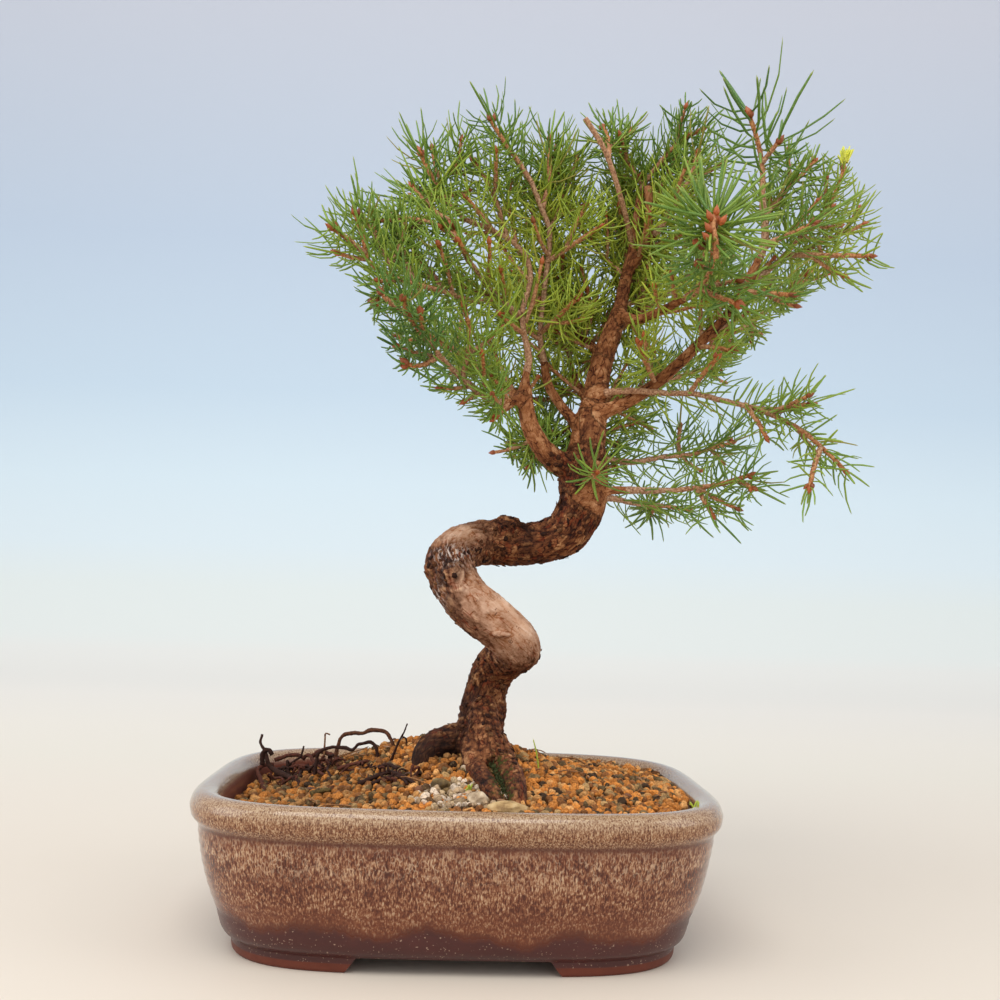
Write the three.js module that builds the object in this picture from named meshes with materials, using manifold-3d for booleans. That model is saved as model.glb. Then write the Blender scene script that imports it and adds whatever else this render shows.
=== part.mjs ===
// A white spruce bonsai in a glazed pot. The trunk leans out of the soil, bends back on itself in one
// tight loop, and forks into boughs that end in needled shoots all round a crown leaning to the right.
// Millimetres, +Z up. +X runs along the pot, -Y faces the viewer, the feet stand on Z = 0 and the
// middle of the whole object's footprint is at the origin. Inside this file the pot's centre is the
// middle and the feet stand at the height GROUND, and the last lines shift everything.

import * as THREE from 'three';
import { mergeVertices } from 'three/addons/utils/BufferGeometryUtils.js';
import { ConvexGeometry } from 'three/addons/geometries/ConvexGeometry.js';
import Module from 'manifold-3d';

// Pot
const RIM_LENGTH = 185;
const RIM_WIDTH = 144;
const RIM_TOP = 58;
const GROUND = 4.4;
const SQUARENESS = 4;
const POT_SIDES = 32;
const WALL_INNER_INSET = 10;
const FLOOR_CORNER_INSET = 22;
const FLOOR_TOP = 15;
const FOOT_TOP = 9.6;
const FOOT_INSET = 15;
const FOOT_RING = 10;
const FOOT_GAP_TOP = 62;
const FOOT_GAP_BOTTOM = 70;
const DRAIN_RADIUS = 6.5;
const DRAIN_X = 36;
const DRAIN_SIDES = 16;

// Soil and what lies on it
const SEAT_GAP = 0.3;
const SOIL_EDGE_Z = 51.5;
const SOIL_TILT = 4;
const MOUND_HEIGHT = 12.5;
const MOUND_CENTRE = [4, 4];
const MOUND_REACH = [42, 38];
const BACK_MOUND_HEIGHT = 8;
const BACK_MOUND_CENTRE = [-24, 32];
const BACK_MOUND_REACH = [40, 23];
const SOIL_STEP = 8.5;
const GRANULE_BUMP = 1.6;
const PATCH_CENTRE = [2, -42];
const PATCH_RADII = [17, 12.5];
const PATCH_THICKNESS = 2.4;

// Drain screens
const SCREEN_SIDE = 20;
const SCREEN_THICKNESS = 1.2;
const SCREEN_HOLES = 3;
const SCREEN_HOLE = 3.6;
const SCREEN_PITCH = 5.6;

// Shoots and needles
const TWIG_RADIUS = 1.1;
const TWIG_TIP_RADIUS = 0.8;
const TWIG_STEP = 3.15;
const TWIG_TWIST = 0.45;
const BUD_RADIUS = 1.5;
const BUD_LENGTH = 4;
const NEEDLE_RADIUS = 0.6;
const NEEDLE_LENGTH = 17;
const NEEDLE_LEAN_AT_FOOT = 62;
const NEEDLE_LEAN_AT_BUD = 26;
const NEEDLE_CLEAR = 0.45;
const NEEDLE_TRIES = 12;
const BARE_FOOT = 2.2;
const SEED = 20;
const WELD = 1e-4;

const manifold = await Module();
manifold.setup();

// Seeded random numbers from 0 to 1.
function randomFrom(seed) {
  let state = seed >>> 0;
  return () => {
    state = (state + 0x6d2b79f5) >>> 0;
    let t = state;
    t = Math.imul(t ^ (t >>> 15), t | 1);
    t ^= t + Math.imul(t ^ (t >>> 7), t | 61);
    return ((t ^ (t >>> 14)) >>> 0) / 4294967296;
  };
}

// Solids

// Corners that lie on each other become one, so that the surface is closed.
function welded(geometry) {
  const bare = geometry.clone();
  bare.deleteAttribute('normal');
  bare.deleteAttribute('uv');
  return mergeVertices(bare, WELD);
}

function solidOf(geometry) {
  const merged = welded(geometry);
  return new manifold.Manifold(new manifold.Mesh({
    numProp: 3,
    vertProperties: new Float32Array(merged.attributes.position.array),
    triVerts: new Uint32Array(merged.index.array),
  }));
}

function geometryOf(solid) {
  const mesh = solid.getMesh();
  const geometry = new THREE.BufferGeometry();
  geometry.setAttribute('position', new THREE.BufferAttribute(mesh.vertProperties, 3));
  geometry.setIndex(new THREE.BufferAttribute(mesh.triVerts, 1));
  geometry.computeVertexNormals();
  return geometry;
}

// Joins solids two by two, which stays quick for many small ones.
function joined(solids) {
  let row = solids;
  while (row.length > 1) {
    const next = [];
    for (let i = 0; i < row.length; i += 2) {
      next.push(i + 1 < row.length ? row[i].add(row[i + 1]) : row[i]);
    }
    row = next;
  }
  return row[0];
}

// The largest body of a solid, without the loose scraps that a cut may leave.
function mainBody(solid) {
  return solid.decompose().sort((a, b) => b.volume() - a.volume())[0];
}

// Limbs: a limb is a list of stations, each a centre and a radius.

function ringsAlong(stations, sides) {
  const centres = stations.map(([x, y, z]) => new THREE.Vector3(x, y, z));
  const across = new THREE.Vector3(0.3, 1, 0.2);
  return centres.map((centre, i) => {
    const before = centres[Math.max(i - 1, 0)];
    const after = centres[Math.min(i + 1, centres.length - 1)];
    const along = after.clone().sub(before).normalize();
    across.addScaledVector(along, -across.dot(along)).normalize();
    const up = along.clone().cross(across);
    const ring = [];
    for (let k = 0; k < sides; k++) {
      const angle = (2 * Math.PI * k) / sides;
      ring.push(centre.clone()
        .addScaledVector(across, Math.cos(angle) * stations[i][3])
        .addScaledVector(up, Math.sin(angle) * stations[i][3]));
    }
    return ring;
  });
}

// A closed solid along the stations: the hull of each two rings, joined. It stays sound where a thick
// limb bends more tightly than its own radius. Each hull has a short nose inside the next one.
function limbSolid(stations, sides) {
  const rings = ringsAlong(stations, sides);
  const lengths = rings.slice(1).map((ring, i) => {
    const corners = [...rings[i], ...ring];
    if (i + 2 < stations.length) {
      const end = new THREE.Vector3(...stations[i + 1]);
      const onward = new THREE.Vector3(...stations[i + 2]).sub(end).normalize();
      corners.push(end.addScaledVector(onward, stations[i + 1][3] * 0.4));
    }
    return solidOf(new ConvexGeometry(corners));
  });
  return joined(lengths);
}

// Stations read off a smooth curve through the given ones.
function smoothStations(stations, count) {
  const curve = new THREE.CatmullRomCurve3(stations.map(([x, y, z]) => new THREE.Vector3(x, y, z)));
  const smooth = [];
  for (let i = 0; i <= count; i++) {
    const t = i / count;
    const point = curve.getPoint(t);
    const place = t * (stations.length - 1);
    const k = Math.min(Math.floor(place), stations.length - 2);
    const radius = THREE.MathUtils.lerp(stations[k][3], stations[k + 1][3], place - k);
    smooth.push([point.x, point.y, point.z, radius]);
  }
  return smooth;
}

// The same limb made thicker and longer by a gap, for cutting its seat in a neighbour.
function swollen(stations, gap) {
  const thick = stations.map(([x, y, z, radius]) => [x, y, z, radius + gap]);
  const last = new THREE.Vector3(...stations[stations.length - 1]);
  const previous = new THREE.Vector3(...stations[stations.length - 2]);
  const tip = last.clone().addScaledVector(last.clone().sub(previous).normalize(), gap);
  thick[thick.length - 1] = [tip.x, tip.y, tip.z, stations[stations.length - 1][3] + gap];
  return thick;
}

// Pot

// A lathe turned about Z whose circle is then pressed into the pot's rounded-rectangle outline. Each
// profile point is [half-length, height].
function potTurning(profile) {
  const offset = (RIM_LENGTH - RIM_WIDTH) / 2;
  const lathe = new THREE.LatheGeometry(profile.map(([r, z]) => new THREE.Vector2(r, z)), POT_SIDES);
  lathe.rotateX(Math.PI / 2);
  const position = lathe.attributes.position;
  const floorReach = RIM_LENGTH / 2 - FLOOR_CORNER_INSET;
  for (let i = 0; i < position.count; i++) {
    const x = position.getX(i);
    const y = position.getY(i);
    const halfLength = Math.hypot(x, y);
    const halfWidth = halfLength > floorReach
      ? halfLength - offset
      : halfLength * (floorReach - offset) / floorReach;
    const c = halfLength > 0 ? x / halfLength : 0;
    const s = halfLength > 0 ? y / halfLength : 0;
    const bend = 2 / SQUARENESS;
    position.setX(i, Math.sign(c) * halfLength * Math.abs(c) ** bend);
    position.setY(i, Math.sign(s) * halfWidth * Math.abs(s) ** bend);
  }
  return solidOf(lathe);
}

function potSolid() {
  const outer = RIM_LENGTH / 2;
  const foot = outer - FOOT_INSET;
  const inner = outer - WALL_INNER_INSET;
  const body = potTurning([
    [0, FOOT_TOP],
    [foot - FOOT_RING, FOOT_TOP],
    [foot - FOOT_RING, GROUND],
    [foot - 0.6, GROUND],
    [foot, GROUND + 1],
    [foot, FOOT_TOP - 0.6],
    [outer - 13, 11],
    [outer - 11, 14.4],
    [outer - 8, 21.5],
    [outer - 4.6, 34],
    [outer - 2.9, 46],
    [outer - 2.6, 48.4],
    [outer - 0.7, 50],
    [outer, 53],
    [outer - 1, 56],
    [outer - 3.6, RIM_TOP],
    [outer - 6.6, RIM_TOP - 0.4],
    [inner + 0.8, 55.6],
    [inner, 52],
    [inner - 1.2, 31],
    [inner - 5, 18.5],
    [inner - 10, FLOOR_TOP],
    [0, FLOOR_TOP],
  ]);
  const gap = new THREE.Shape([
    new THREE.Vector2(-FOOT_GAP_BOTTOM / 2 - 0.8, GROUND - 1),
    new THREE.Vector2(FOOT_GAP_BOTTOM / 2 + 0.8, GROUND - 1),
    new THREE.Vector2(FOOT_GAP_TOP / 2, FOOT_TOP),
    new THREE.Vector2(-FOOT_GAP_TOP / 2, FOOT_TOP),
  ]);
  const passage = new THREE.ExtrudeGeometry(gap, { depth: RIM_WIDTH, bevelEnabled: false });
  passage.translate(0, 0, -RIM_WIDTH / 2);
  passage.rotateX(Math.PI / 2);
  const drains = [-DRAIN_X, DRAIN_X].map((x) => {
    const depth = 3 * (FLOOR_TOP - FOOT_TOP);
    const drain = new THREE.CylinderGeometry(DRAIN_RADIUS, DRAIN_RADIUS, depth, DRAIN_SIDES);
    drain.rotateX(Math.PI / 2);
    drain.translate(x, 0, (FLOOR_TOP + FOOT_TOP) / 2);
    return solidOf(drain);
  });
  return body.subtract(joined([solidOf(passage), ...drains]));
}

// A square plastic net that keeps the soil in over one drain hole.
function screenBlock(x, gap) {
  const side = SCREEN_SIDE + 2 * gap;
  const plate = new THREE.BoxGeometry(side, side, SCREEN_THICKNESS + 2 * gap);
  plate.translate(x, 0, FLOOR_TOP + SEAT_GAP + SCREEN_THICKNESS / 2);
  return solidOf(plate);
}

function screenSolid(x) {
  const first = -(SCREEN_HOLES - 1) / 2;
  const holes = [];
  for (let i = 0; i < SCREEN_HOLES; i++) {
    for (let j = 0; j < SCREEN_HOLES; j++) {
      const hole = new THREE.BoxGeometry(SCREEN_HOLE, SCREEN_HOLE, 4 * SCREEN_THICKNESS);
      hole.translate(x + (first + i) * SCREEN_PITCH, (first + j) * SCREEN_PITCH, FLOOR_TOP + SEAT_GAP);
      holes.push(solidOf(hole));
    }
  }
  return screenBlock(x, 0).subtract(joined(holes));
}

// Soil

function moundLevel(x, y, height, centre, reach) {
  const dx = (x - centre[0]) / reach[0];
  const dy = (y - centre[1]) / reach[1];
  return height * Math.exp(-dx * dx - dy * dy);
}

function soilLevel(x, y) {
  const edge = SOIL_EDGE_Z + SOIL_TILT * Math.tanh((x + 35) / 30);
  const mound = moundLevel(x, y, MOUND_HEIGHT, MOUND_CENTRE, MOUND_REACH);
  return edge + mound + moundLevel(x, y, BACK_MOUND_HEIGHT, BACK_MOUND_CENTRE, BACK_MOUND_REACH);
}

// A slab on a square lattice. level and under give its top and bottom at a lattice point, and keep
// says which cells it covers.
function latticeSlab(countX, countY, step, keep, level, under) {
  const points = [];
  const triangles = [];
  const indexOf = new Map();
  const point = (i, j, top) => {
    const key = `${i} ${j} ${top}`;
    if (!indexOf.has(key)) {
      const x = (i - countX / 2) * step;
      const y = (j - countY / 2) * step;
      indexOf.set(key, points.length / 3);
      points.push(x, y, top ? level(x, y, i, j) : under(x, y, i, j));
    }
    return indexOf.get(key);
  };
  const covered = (i, j) => i >= 0 && j >= 0 && i < countX && j < countY
    && keep((i + 0.5 - countX / 2) * step, (j + 0.5 - countY / 2) * step);
  const wall = (i0, j0, i1, j1) => {
    triangles.push(point(i0, j0, false), point(i1, j1, false), point(i1, j1, true));
    triangles.push(point(i0, j0, false), point(i1, j1, true), point(i0, j0, true));
  };
  for (let i = 0; i < countX; i++) {
    for (let j = 0; j < countY; j++) {
      if (!covered(i, j)) continue;
      triangles.push(point(i, j, true), point(i + 1, j, true), point(i + 1, j + 1, true));
      triangles.push(point(i, j, true), point(i + 1, j + 1, true), point(i, j + 1, true));
      triangles.push(point(i, j, false), point(i + 1, j + 1, false), point(i + 1, j, false));
      triangles.push(point(i, j, false), point(i, j + 1, false), point(i + 1, j + 1, false));
      if (!covered(i, j - 1)) wall(i, j, i + 1, j);
      if (!covered(i + 1, j)) wall(i + 1, j, i + 1, j + 1);
      if (!covered(i, j + 1)) wall(i + 1, j + 1, i, j + 1);
      if (!covered(i - 1, j)) wall(i, j + 1, i, j);
    }
  }
  const geometry = new THREE.BufferGeometry();
  geometry.setAttribute('position', new THREE.Float32BufferAttribute(points, 3));
  geometry.setIndex(triangles);
  return solidOf(geometry);
}

const SOIL_COUNT_X = 2 * Math.ceil((RIM_LENGTH / 2 - WALL_INNER_INSET + 2) / SOIL_STEP);
const SOIL_COUNT_Y = 2 * Math.ceil((RIM_WIDTH / 2 - WALL_INNER_INSET + 2) / SOIL_STEP);

// Each lattice point stands up or sinks by chance, as the tops of granules do.
function granuleRelief() {
  const random = randomFrom(SEED);
  const relief = [];
  for (let i = 0; i <= SOIL_COUNT_X; i++) {
    relief.push([]);
    for (let j = 0; j <= SOIL_COUNT_Y; j++) {
      relief[i].push((random() - 0.5) * 2 * GRANULE_BUMP);
    }
  }
  return relief;
}

const RELIEF = granuleRelief();

function soilTop(x, y, i, j) {
  return soilLevel(x, y) + RELIEF[i][j];
}

function soilSolid(cutters) {
  const inner = RIM_LENGTH / 2 - WALL_INNER_INSET - SEAT_GAP;
  const well = potTurning([
    [0, FLOOR_TOP + SEAT_GAP],
    [inner - 10, FLOOR_TOP + SEAT_GAP],
    [inner - 5, 18.8],
    [inner - 1.4, 31],
    [inner - 0.4, RIM_TOP + 30],
    [0, RIM_TOP + 30],
  ]);
  const all = () => true;
  const bed = latticeSlab(SOIL_COUNT_X, SOIL_COUNT_Y, SOIL_STEP, all, soilTop, () => 5);
  return mainBody(well.intersect(bed).subtract(joined(cutters)));
}

function pumiceSolid() {
  const random = randomFrom(SEED + 1);
  const keep = (x, y) => Math.hypot(
    (x - PATCH_CENTRE[0]) / PATCH_RADII[0],
    (y - PATCH_CENTRE[1]) / PATCH_RADII[1],
  ) < 1;
  const under = (x, y, i, j) => soilTop(x, y, i, j) + SEAT_GAP;
  const over = (x, y, i, j) => under(x, y, i, j) + PATCH_THICKNESS * (0.6 + 0.5 * random());
  return latticeSlab(SOIL_COUNT_X, SOIL_COUNT_Y, SOIL_STEP, keep, over, under);
}

// Stones: a faceted ball pressed to three radii and roughened by chance.
const STONES = {
  stone_green: { centre: [-6.6, -34.5, 60.1], radii: [3.7, 3.1, 2.9], seed: 5 },
  stone_flat: { centre: [15.5, -56.5, 57.4], radii: [6.3, 3.8, 2.4], seed: 6 },
};

function stoneSolid({ centre, radii, seed }, gap) {
  const random = randomFrom(seed);
  const ball = welded(new THREE.IcosahedronGeometry(1, 1));
  const position = ball.attributes.position;
  for (let i = 0; i < position.count; i++) {
    const rough = 0.9 + 0.2 * random();
    position.setXYZ(
      i,
      centre[0] + position.getX(i) * (radii[0] * rough + gap),
      centre[1] + position.getY(i) * (radii[1] * rough + gap),
      centre[2] + position.getZ(i) * (radii[2] * rough + gap),
    );
  }
  return solidOf(ball);
}

// Dead roots that stand out of the soil at the left.
const DEAD_ROOTS = {
  dead_root_upright: [
    [-78.7, 27, 68, 0.5],
    [-79, 27, 65, 0.55],
    [-77.1, 26.6, 61.6, 0.6],
    [-76.2, 26.3, 58.6, 0.75],
    [-74.5, 26, 55.4, 1.1],
    [-71.5, 23.5, 54.1, 1.2],
    [-66.2, 17.5, 53.1, 1.2],
    [-62.3, 12.5, 52.3, 1.15],
    [-60, 9.8, 50.8, 1.1],
    [-57.8, 7.3, 44.4, 1],
  ],
  dead_root_arch: [
    [-49.2, 25, 51.2, 0.75],
    [-48.6, 25, 62.2, 0.8],
    [-47.9, 25, 65.6, 0.75],
    [-46.3, 24.5, 68.8, 0.8],
    [-42.8, 24, 69.6, 0.8],
    [-38.4, 23, 69.8, 0.8],
    [-35.4, 22.5, 71.3, 0.95],
    [-29.6, 21.5, 70.9, 0.8],
    [-27.8, 21, 68.8, 0.75],
    [-26.3, 20.5, 66.5, 0.7],
    [-25.5, 20.5, 53.5, 0.7],
  ],
  dead_root_dark: [
    [-55.8, 16, 52.8, 0.7],
    [-55, 16, 61.8, 0.75],
    [-52.8, 15.5, 64.2, 0.65],
    [-48.5, 15, 65.3, 0.7],
    [-44, 14.5, 65.2, 0.75],
    [-41.6, 14, 64.4, 0.65],
    [-39, 13.5, 66.8, 0.65],
    [-34.5, 13, 67.6, 0.7],
    [-32.3, 12.5, 66.1, 0.6],
    [-31.3, 12.5, 57.1, 0.6],
  ],
};

// Tree: every limb starts on its parent's axis, sunk well into it.
const TRUNK = [
  [7, 2, 44, 5],
  [7, 2, 56, 8.5],
  [7, 2, 67, 10],
  [8, 5, 78, 8.8],
  [9, 7, 88, 8.4],
  [12, 7, 97, 8.4],
  [17, 0, 103, 8.6],
  [20, -12, 107, 8.8],
  [15, -20, 113, 8.8],
  [5, -20, 120, 9],
  [-2, -16, 127, 9],
  [-6, -10, 136, 9.1],
  [-3, -2, 143, 9],
  [6, 6, 146, 8.9],
  [17, 8, 146, 8.6],
  [28, 6, 147, 8.5],
  [38, 4, 151, 8.9],
  [43, 2, 160, 9.3],
  [44, 0, 171, 9.6],
  [45, 0, 184, 7.3],
  [47, 2, 198, 5.4],
  [49, 4, 210, 4.7],
  [51, 5, 220, 4.5],
  [55, 6, 232, 4],
  [58, 8, 243, 3],
  [60, 8, 254, 2.5],
  [62, 6, 266, 1.9],
  [63, 4, 277, 1.5],
  [64, 4, 288, 1.2],
];

const ROOTS = [
  [
    [6, 2, 72, 6], [-2, 0, 70.5, 5.4], [-8, -3, 70, 4.8], [-12.5, -6, 67, 3.8], [-14, -8, 62, 3.1],
    [-14.5, -10, 54, 2.2],
  ],
  [
    [8, 1, 74, 6], [13, -7, 69.5, 5], [16.5, -20, 65, 4.2], [19, -33, 61.5, 3.8],
    [19.5, -43, 59, 3.3], [19.5, -50, 54, 2.2],
  ],
  [
    [5, -2, 72, 5], [4.5, -12, 67.5, 3.8], [6.5, -25, 64, 3.1], [10, -38, 61, 2.9],
    [12, -47, 58, 2.4], [12.5, -51, 54, 1.6],
  ],
  [[9, 4, 70, 5.5], [16, 10, 63, 3.6], [25, 16, 57, 2.6], [33, 21, 50, 1.8]],
  [[6, 6, 72, 6], [1, 19, 65, 3.6], [-5, 31, 59, 2.6], [-9, 39, 51, 1.8]],
];

const BOUGHS = {
  left: [
    [44, 0, 170, 5.6], [38, -2, 175, 5], [32, -5, 178, 4.5], [27, -8, 182, 3.8], [22, -10, 190, 3.4],
    [20, -10, 200, 3], [20, -9, 208, 2.9], [21, -8, 216, 2.7], [19, -9, 225, 2], [18, -8, 233, 1.7],
    [21, -4, 249, 1.4], [19, -3, 257, 1.3], [13, -3, 263, 1.2], [6, -5, 266, 1.1], [-5, -8, 269, 1],
  ],
  leftFront: [[18, -8, 232, 1.6], [13, -12, 234, 1.3], [7, -16, 238, 1.2], [1, -20, 244, 1]],
  leftLow: [
    [20, -10, 200, 2.2], [14, -14, 198, 1.6], [8, -19, 197, 1.4], [1, -25, 200, 1.3], [-5, -29, 204, 1.2],
  ],
  leftBack: [[20, -10, 199, 2.4], [13, 8, 208, 1.8], [3, 24, 219, 1.4]],
  middle: [
    [45, 0, 184, 3.4], [40, 4, 194, 2.3], [35, 7, 201, 2], [30, 8, 209, 1.9], [28, 8, 218, 1.8],
    [26, 6, 228, 1.7], [27, 3, 246, 1.5], [28, -2, 268, 1.3], [25, -4, 275, 1.2], [20, -8, 285, 1.1],
  ],
  middleBack: [[47, 2, 200, 2.4], [42, 15, 211, 1.8], [40, 26, 222, 1.5]],
  right: [
    [47, 2, 195, 3.2], [52, -1, 198, 2.8], [61, -4, 202, 2.5], [72, -8, 210, 2.4], [88, -16, 226, 2.1],
    [95, -20, 234, 1.9], [99, -25, 243, 1.7], [103, -28, 251, 1.5], [105, -30, 258, 1.4],
    [103, -34, 272, 1.2],
  ],
  rightOuter: [[98, -25, 242, 1.7], [108, -24, 249, 1.3]],
  rightBack: [[87, -15, 225, 2], [103, 0, 232, 1.5]],
  rightLow: [
    [48, 2, 204, 3], [53, -3, 205, 2.2], [61, -8, 205, 2], [73, -16, 203, 1.8], [82, -22, 202, 1.6],
    [90, -28, 199, 1.4],
  ],
  rightLowBack: [[45, 1, 179, 3], [54, 6, 180, 2.1], [64, 11, 180, 2], [79, 21, 184, 1.6]],
  rightBottom: [[45, 0, 165, 4], [55, -4, 167, 2.8], [67, -8, 167, 2.1], [77, -12, 167, 1.5]],
  rightBottomBack: [[44, 2, 163, 3.4], [56, 8, 165, 2.1], [65, 14, 164, 1.5]],
  front: [[57, 7, 238, 2.6], [62, -6, 233, 2], [66, -18, 232, 1.8], [74, -38, 233, 1.5]],
  topRight: [[60, 8, 255, 1.9], [66, 2, 264, 1.6], [72, -3, 272, 1.4], [79, -9, 284, 1.2]],
  backLeft: [[51, 5, 220, 2.4], [45, 20, 231, 1.8], [36, 38, 244, 1.4]],
  backRight: [[55, 6, 231, 2.4], [68, 20, 244, 1.8], [83, 37, 257, 1.4]],
  backLow: [[48, 3, 202, 2.4], [60, 18, 207, 1.9], [77, 36, 216, 1.5]],
  backTop: [[59, 8, 251, 2], [64, 22, 264, 1.3]],
  cutTwig: [[62, 6, 265, 1.8], [57, -4, 276, 1.5], [48, -14, 295, 1.3], [39, -20, 306, 1.3]],
  cutStub: [[66, 1, 264, 1.9], [67, -2, 277, 1.7], [66, -4, 287, 1.7]],
};

// Sprays: each is a needled shoot, most with side shoots. The first shoot starts on the axis of the
// limb that carries it, and each other one on the axis of a shoot before it.
const SPRAYS = {
  crown_left: [
    [[-5, -8, 269], [-13, -10, 276], [-20, -12, 287], [-24, -13, 295]],
    [[-13, -10, 276], [-22, -4, 277], [-29, 0, 279]],
  ],
  crown_left_low: [[[6, -5, 266], [0, -14, 270], [-6, -21, 274]]],
  left_inner: [[[12, -3, 263], [7, -5, 277], [3, -6, 285], [-4, -8, 294]]],
  left_front: [
    [[1, -20, 244], [-4, -22, 250], [-8, -23, 257], [-11, -24, 263]],
    [[-8, -23, 257], [-16, -28, 260]],
    [[-3, -22, 248], [-5, -31, 250], [-8, -38, 252]],
  ],
  left_outer: [
    [[8, -15, 237], [0, -20, 234], [-11, -27, 235], [-29, -37, 237], [-38, -42, 241], [-40, -44, 248],
      [-44, -46, 259]],
    [[-39, -43, 243], [-45, -46, 247], [-52, -52, 250]],
    [[-22, -33, 236], [-26, -30, 246], [-29, -26, 257], [-31, -24, 266]],
    [[-11, -27, 235], [-17, -22, 244], [-22, -19, 250], [-26, -14, 258]],
    [[-29, -37, 237], [-34, -36, 231], [-37, -37, 225]],
  ],
  left_low: [
    [[-5, -29, 204], [-10, -32, 208], [-19, -38, 217], [-23, -47, 221], [-25, -58, 225]],
    [[-23, -47, 221], [-29, -50, 224], [-34, -52, 229]],
    [[-12, -33, 210], [-18, -36, 206], [-23, -41, 205], [-28, -44, 208]],
  ],
  left_low_up: [[[-4, -28, 203], [-2, -30, 213], [-2, -31, 221], [-5, -34, 230]]],
  left_low_under: [[[2, -24, 199.5], [-4, -28, 194], [-9, -31, 191]]],
  left_low_in: [[[14, -14, 198], [9, -21, 191], [4, -27, 186]]],
  left_upper_front: [[[19, -9, 225], [13, -20, 226], [8, -29, 228]]],
  left_shade: [[[26, -8, 184], [25, 3, 180], [23, 12, 176]]],
  left_back: [
    [[3, 24, 219], [-8, 38, 229], [-18, 49, 237], [-24, 55, 243]],
    [[-18, 49, 237], [-27, 48, 234], [-35, 46, 236]],
    [[-2, 30, 223], [-12, 24, 227], [-20, 21, 231]],
  ],
  middle_top: [[[20, -8, 285], [14, -10, 293], [8, -12, 300], [2, -14, 309]]],
  middle_top_right: [[[25, -4, 276], [27, -4, 288], [27, -3, 298], [27, -2, 307]]],
  middle_top_back: [[[28, -2, 268], [33, 5, 282], [37, 10, 295], [40, 13, 306]]],
  middle_pale: [[[27, 1, 256], [38, -7, 262], [48, -13, 268]]],
  middle_front: [[[26, 6, 229], [33, -6, 234], [40, -15, 240]]],
  middle_back: [
    [[40, 26, 222], [41, 38, 238], [42, 46, 251], [40, 56, 270]],
    [[41, 51, 261], [34, 60, 264]],
    [[40, 33, 231], [31, 37, 235], [23, 42, 240]],
  ],
  top_tuft: [[[49, -13, 293], [50, -6, 303], [48, 0, 313]]],
  top: [[[64, 4, 288], [70, 2, 297], [79, -1, 307], [89, -4, 312]]],
  top_back: [[[62, 6, 271], [58, 15, 283], [58, 20, 295], [60, 23, 307]]],
  top_right: [
    [[79, -9, 284], [82, -11, 291], [84, -12, 300]],
    [[81, -10, 288], [90, -5, 294], [97, -1, 300]],
  ],
  back_top: [
    [[64, 22, 264], [69, 34, 277], [73, 43, 288], [75, 49, 299]],
    [[69, 34, 277], [62, 42, 283], [57, 48, 290]],
  ],
  back_left: [
    [[36, 38, 244], [27, 51, 254], [19, 60, 263], [13, 66, 271]],
    [[20, 59, 262], [10, 57, 262]],
    [[30, 47, 251], [22, 40, 257], [15, 36, 263]],
  ],
  back_right: [
    [[83, 37, 257], [97, 51, 270], [108, 59, 280], [114, 64, 288]],
    [[107, 58, 279], [117, 56, 280]],
    [[90, 44, 264], [98, 36, 269], [104, 30, 274]],
  ],
  back_low: [
    [[77, 36, 216], [93, 49, 224], [106, 58, 230], [116, 64, 236]],
    [[105, 57, 229], [115, 52, 226]],
    [[85, 43, 220], [81, 53, 225], [77, 61, 230]],
  ],
  right_back: [
    [[103, 0, 232], [117, 12, 243], [129, 20, 252], [137, 25, 260], [142, 28, 268]],
    [[137, 25, 260], [147, 19, 263]],
    [[112, 8, 239], [113, 17, 235], [115, 25, 230]],
    [[121, 15, 246], [127, 8, 253], [132, 3, 259]],
  ],
  leader: [
    [[103, -34, 272], [102, -36, 285], [99, -38, 295], [95, -40, 304]],
    [[102, -36, 285], [108, -42, 293]],
  ],
  right_side: [[[105, -30, 257], [113, -37, 259], [121, -43, 262]]],
  right_upper: [[[104, -32, 266], [112, -26, 277], [121, -22, 287], [128, -19, 295]]],
  right_outer: [
    [[108, -24, 249], [115, -22, 256], [124, -20, 267], [131, -20, 275], [136, -20, 285], [138, -20, 293]],
    [[115, -22, 256], [125, -29, 254], [134, -33, 253], [144, -37, 252]],
    [[121, -21, 263], [132, -14, 265], [142, -9, 271], [149, -7, 282]],
  ],
  right_mid_under: [[[98, -24, 241], [108, -32, 238], [117, -38, 236]]],
  right_inner: [[[84, -14, 222], [94, -22, 219], [103, -27, 216]]],
  right_front: [[[70, -7, 208], [64, -18, 214], [59, -27, 221]]],
  front: [
    [[74, -38, 233], [79, -54, 237], [78, -66, 242], [76, -78, 250]],
    [[78, -66, 242], [70, -72, 243]],
    [[77, -46, 235], [84, -52, 230], [91, -57, 226]],
  ],
  low_outer: [
    [[90, -28, 199], [99, -33, 196], [108, -37, 192], [116, -40, 187], [125, -44, 178], [131, -46, 171]],
    [[122, -43, 181], [118, -47, 172], [116, -49, 164]],
    [[106, -36, 193], [113, -42, 195], [120, -45, 196]],
    [[98, -32, 197], [101, -38, 190], [104, -42, 182]],
  ],
  low_mid: [[[80, -20, 202], [84, -29, 209], [88, -37, 214]]],
  low_back: [
    [[79, 21, 184], [90, 28, 186], [102, 34, 190], [113, 39, 194]],
    [[101, 33, 189], [109, 42, 184]],
    [[86, 26, 185], [87, 33, 193], [89, 38, 201]],
  ],
  bottom: [
    [[77, -12, 167], [85, -17, 168], [92, -21, 169], [104, -27, 173]],
    [[97, -23, 171], [103, -32, 166]],
    [[84, -16, 168], [87, -20, 162], [90, -22, 156]],
  ],
  bottom_back: [
    [[65, 14, 164], [74, 20, 164], [84, 27, 164], [94, 33, 163]],
    [[76, 21, 164], [75, 31, 160]],
  ],
  trunk_tuft: [[[45, -4, 172], [46, -16, 171], [47, -23, 172]]],
};

const WOOD_SIDES = 5;
const TRUNK_SIDES = 8;
const TRUNK_STEPS = 27;
const DEAD_ROOT_SIDES = 5;

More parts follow.
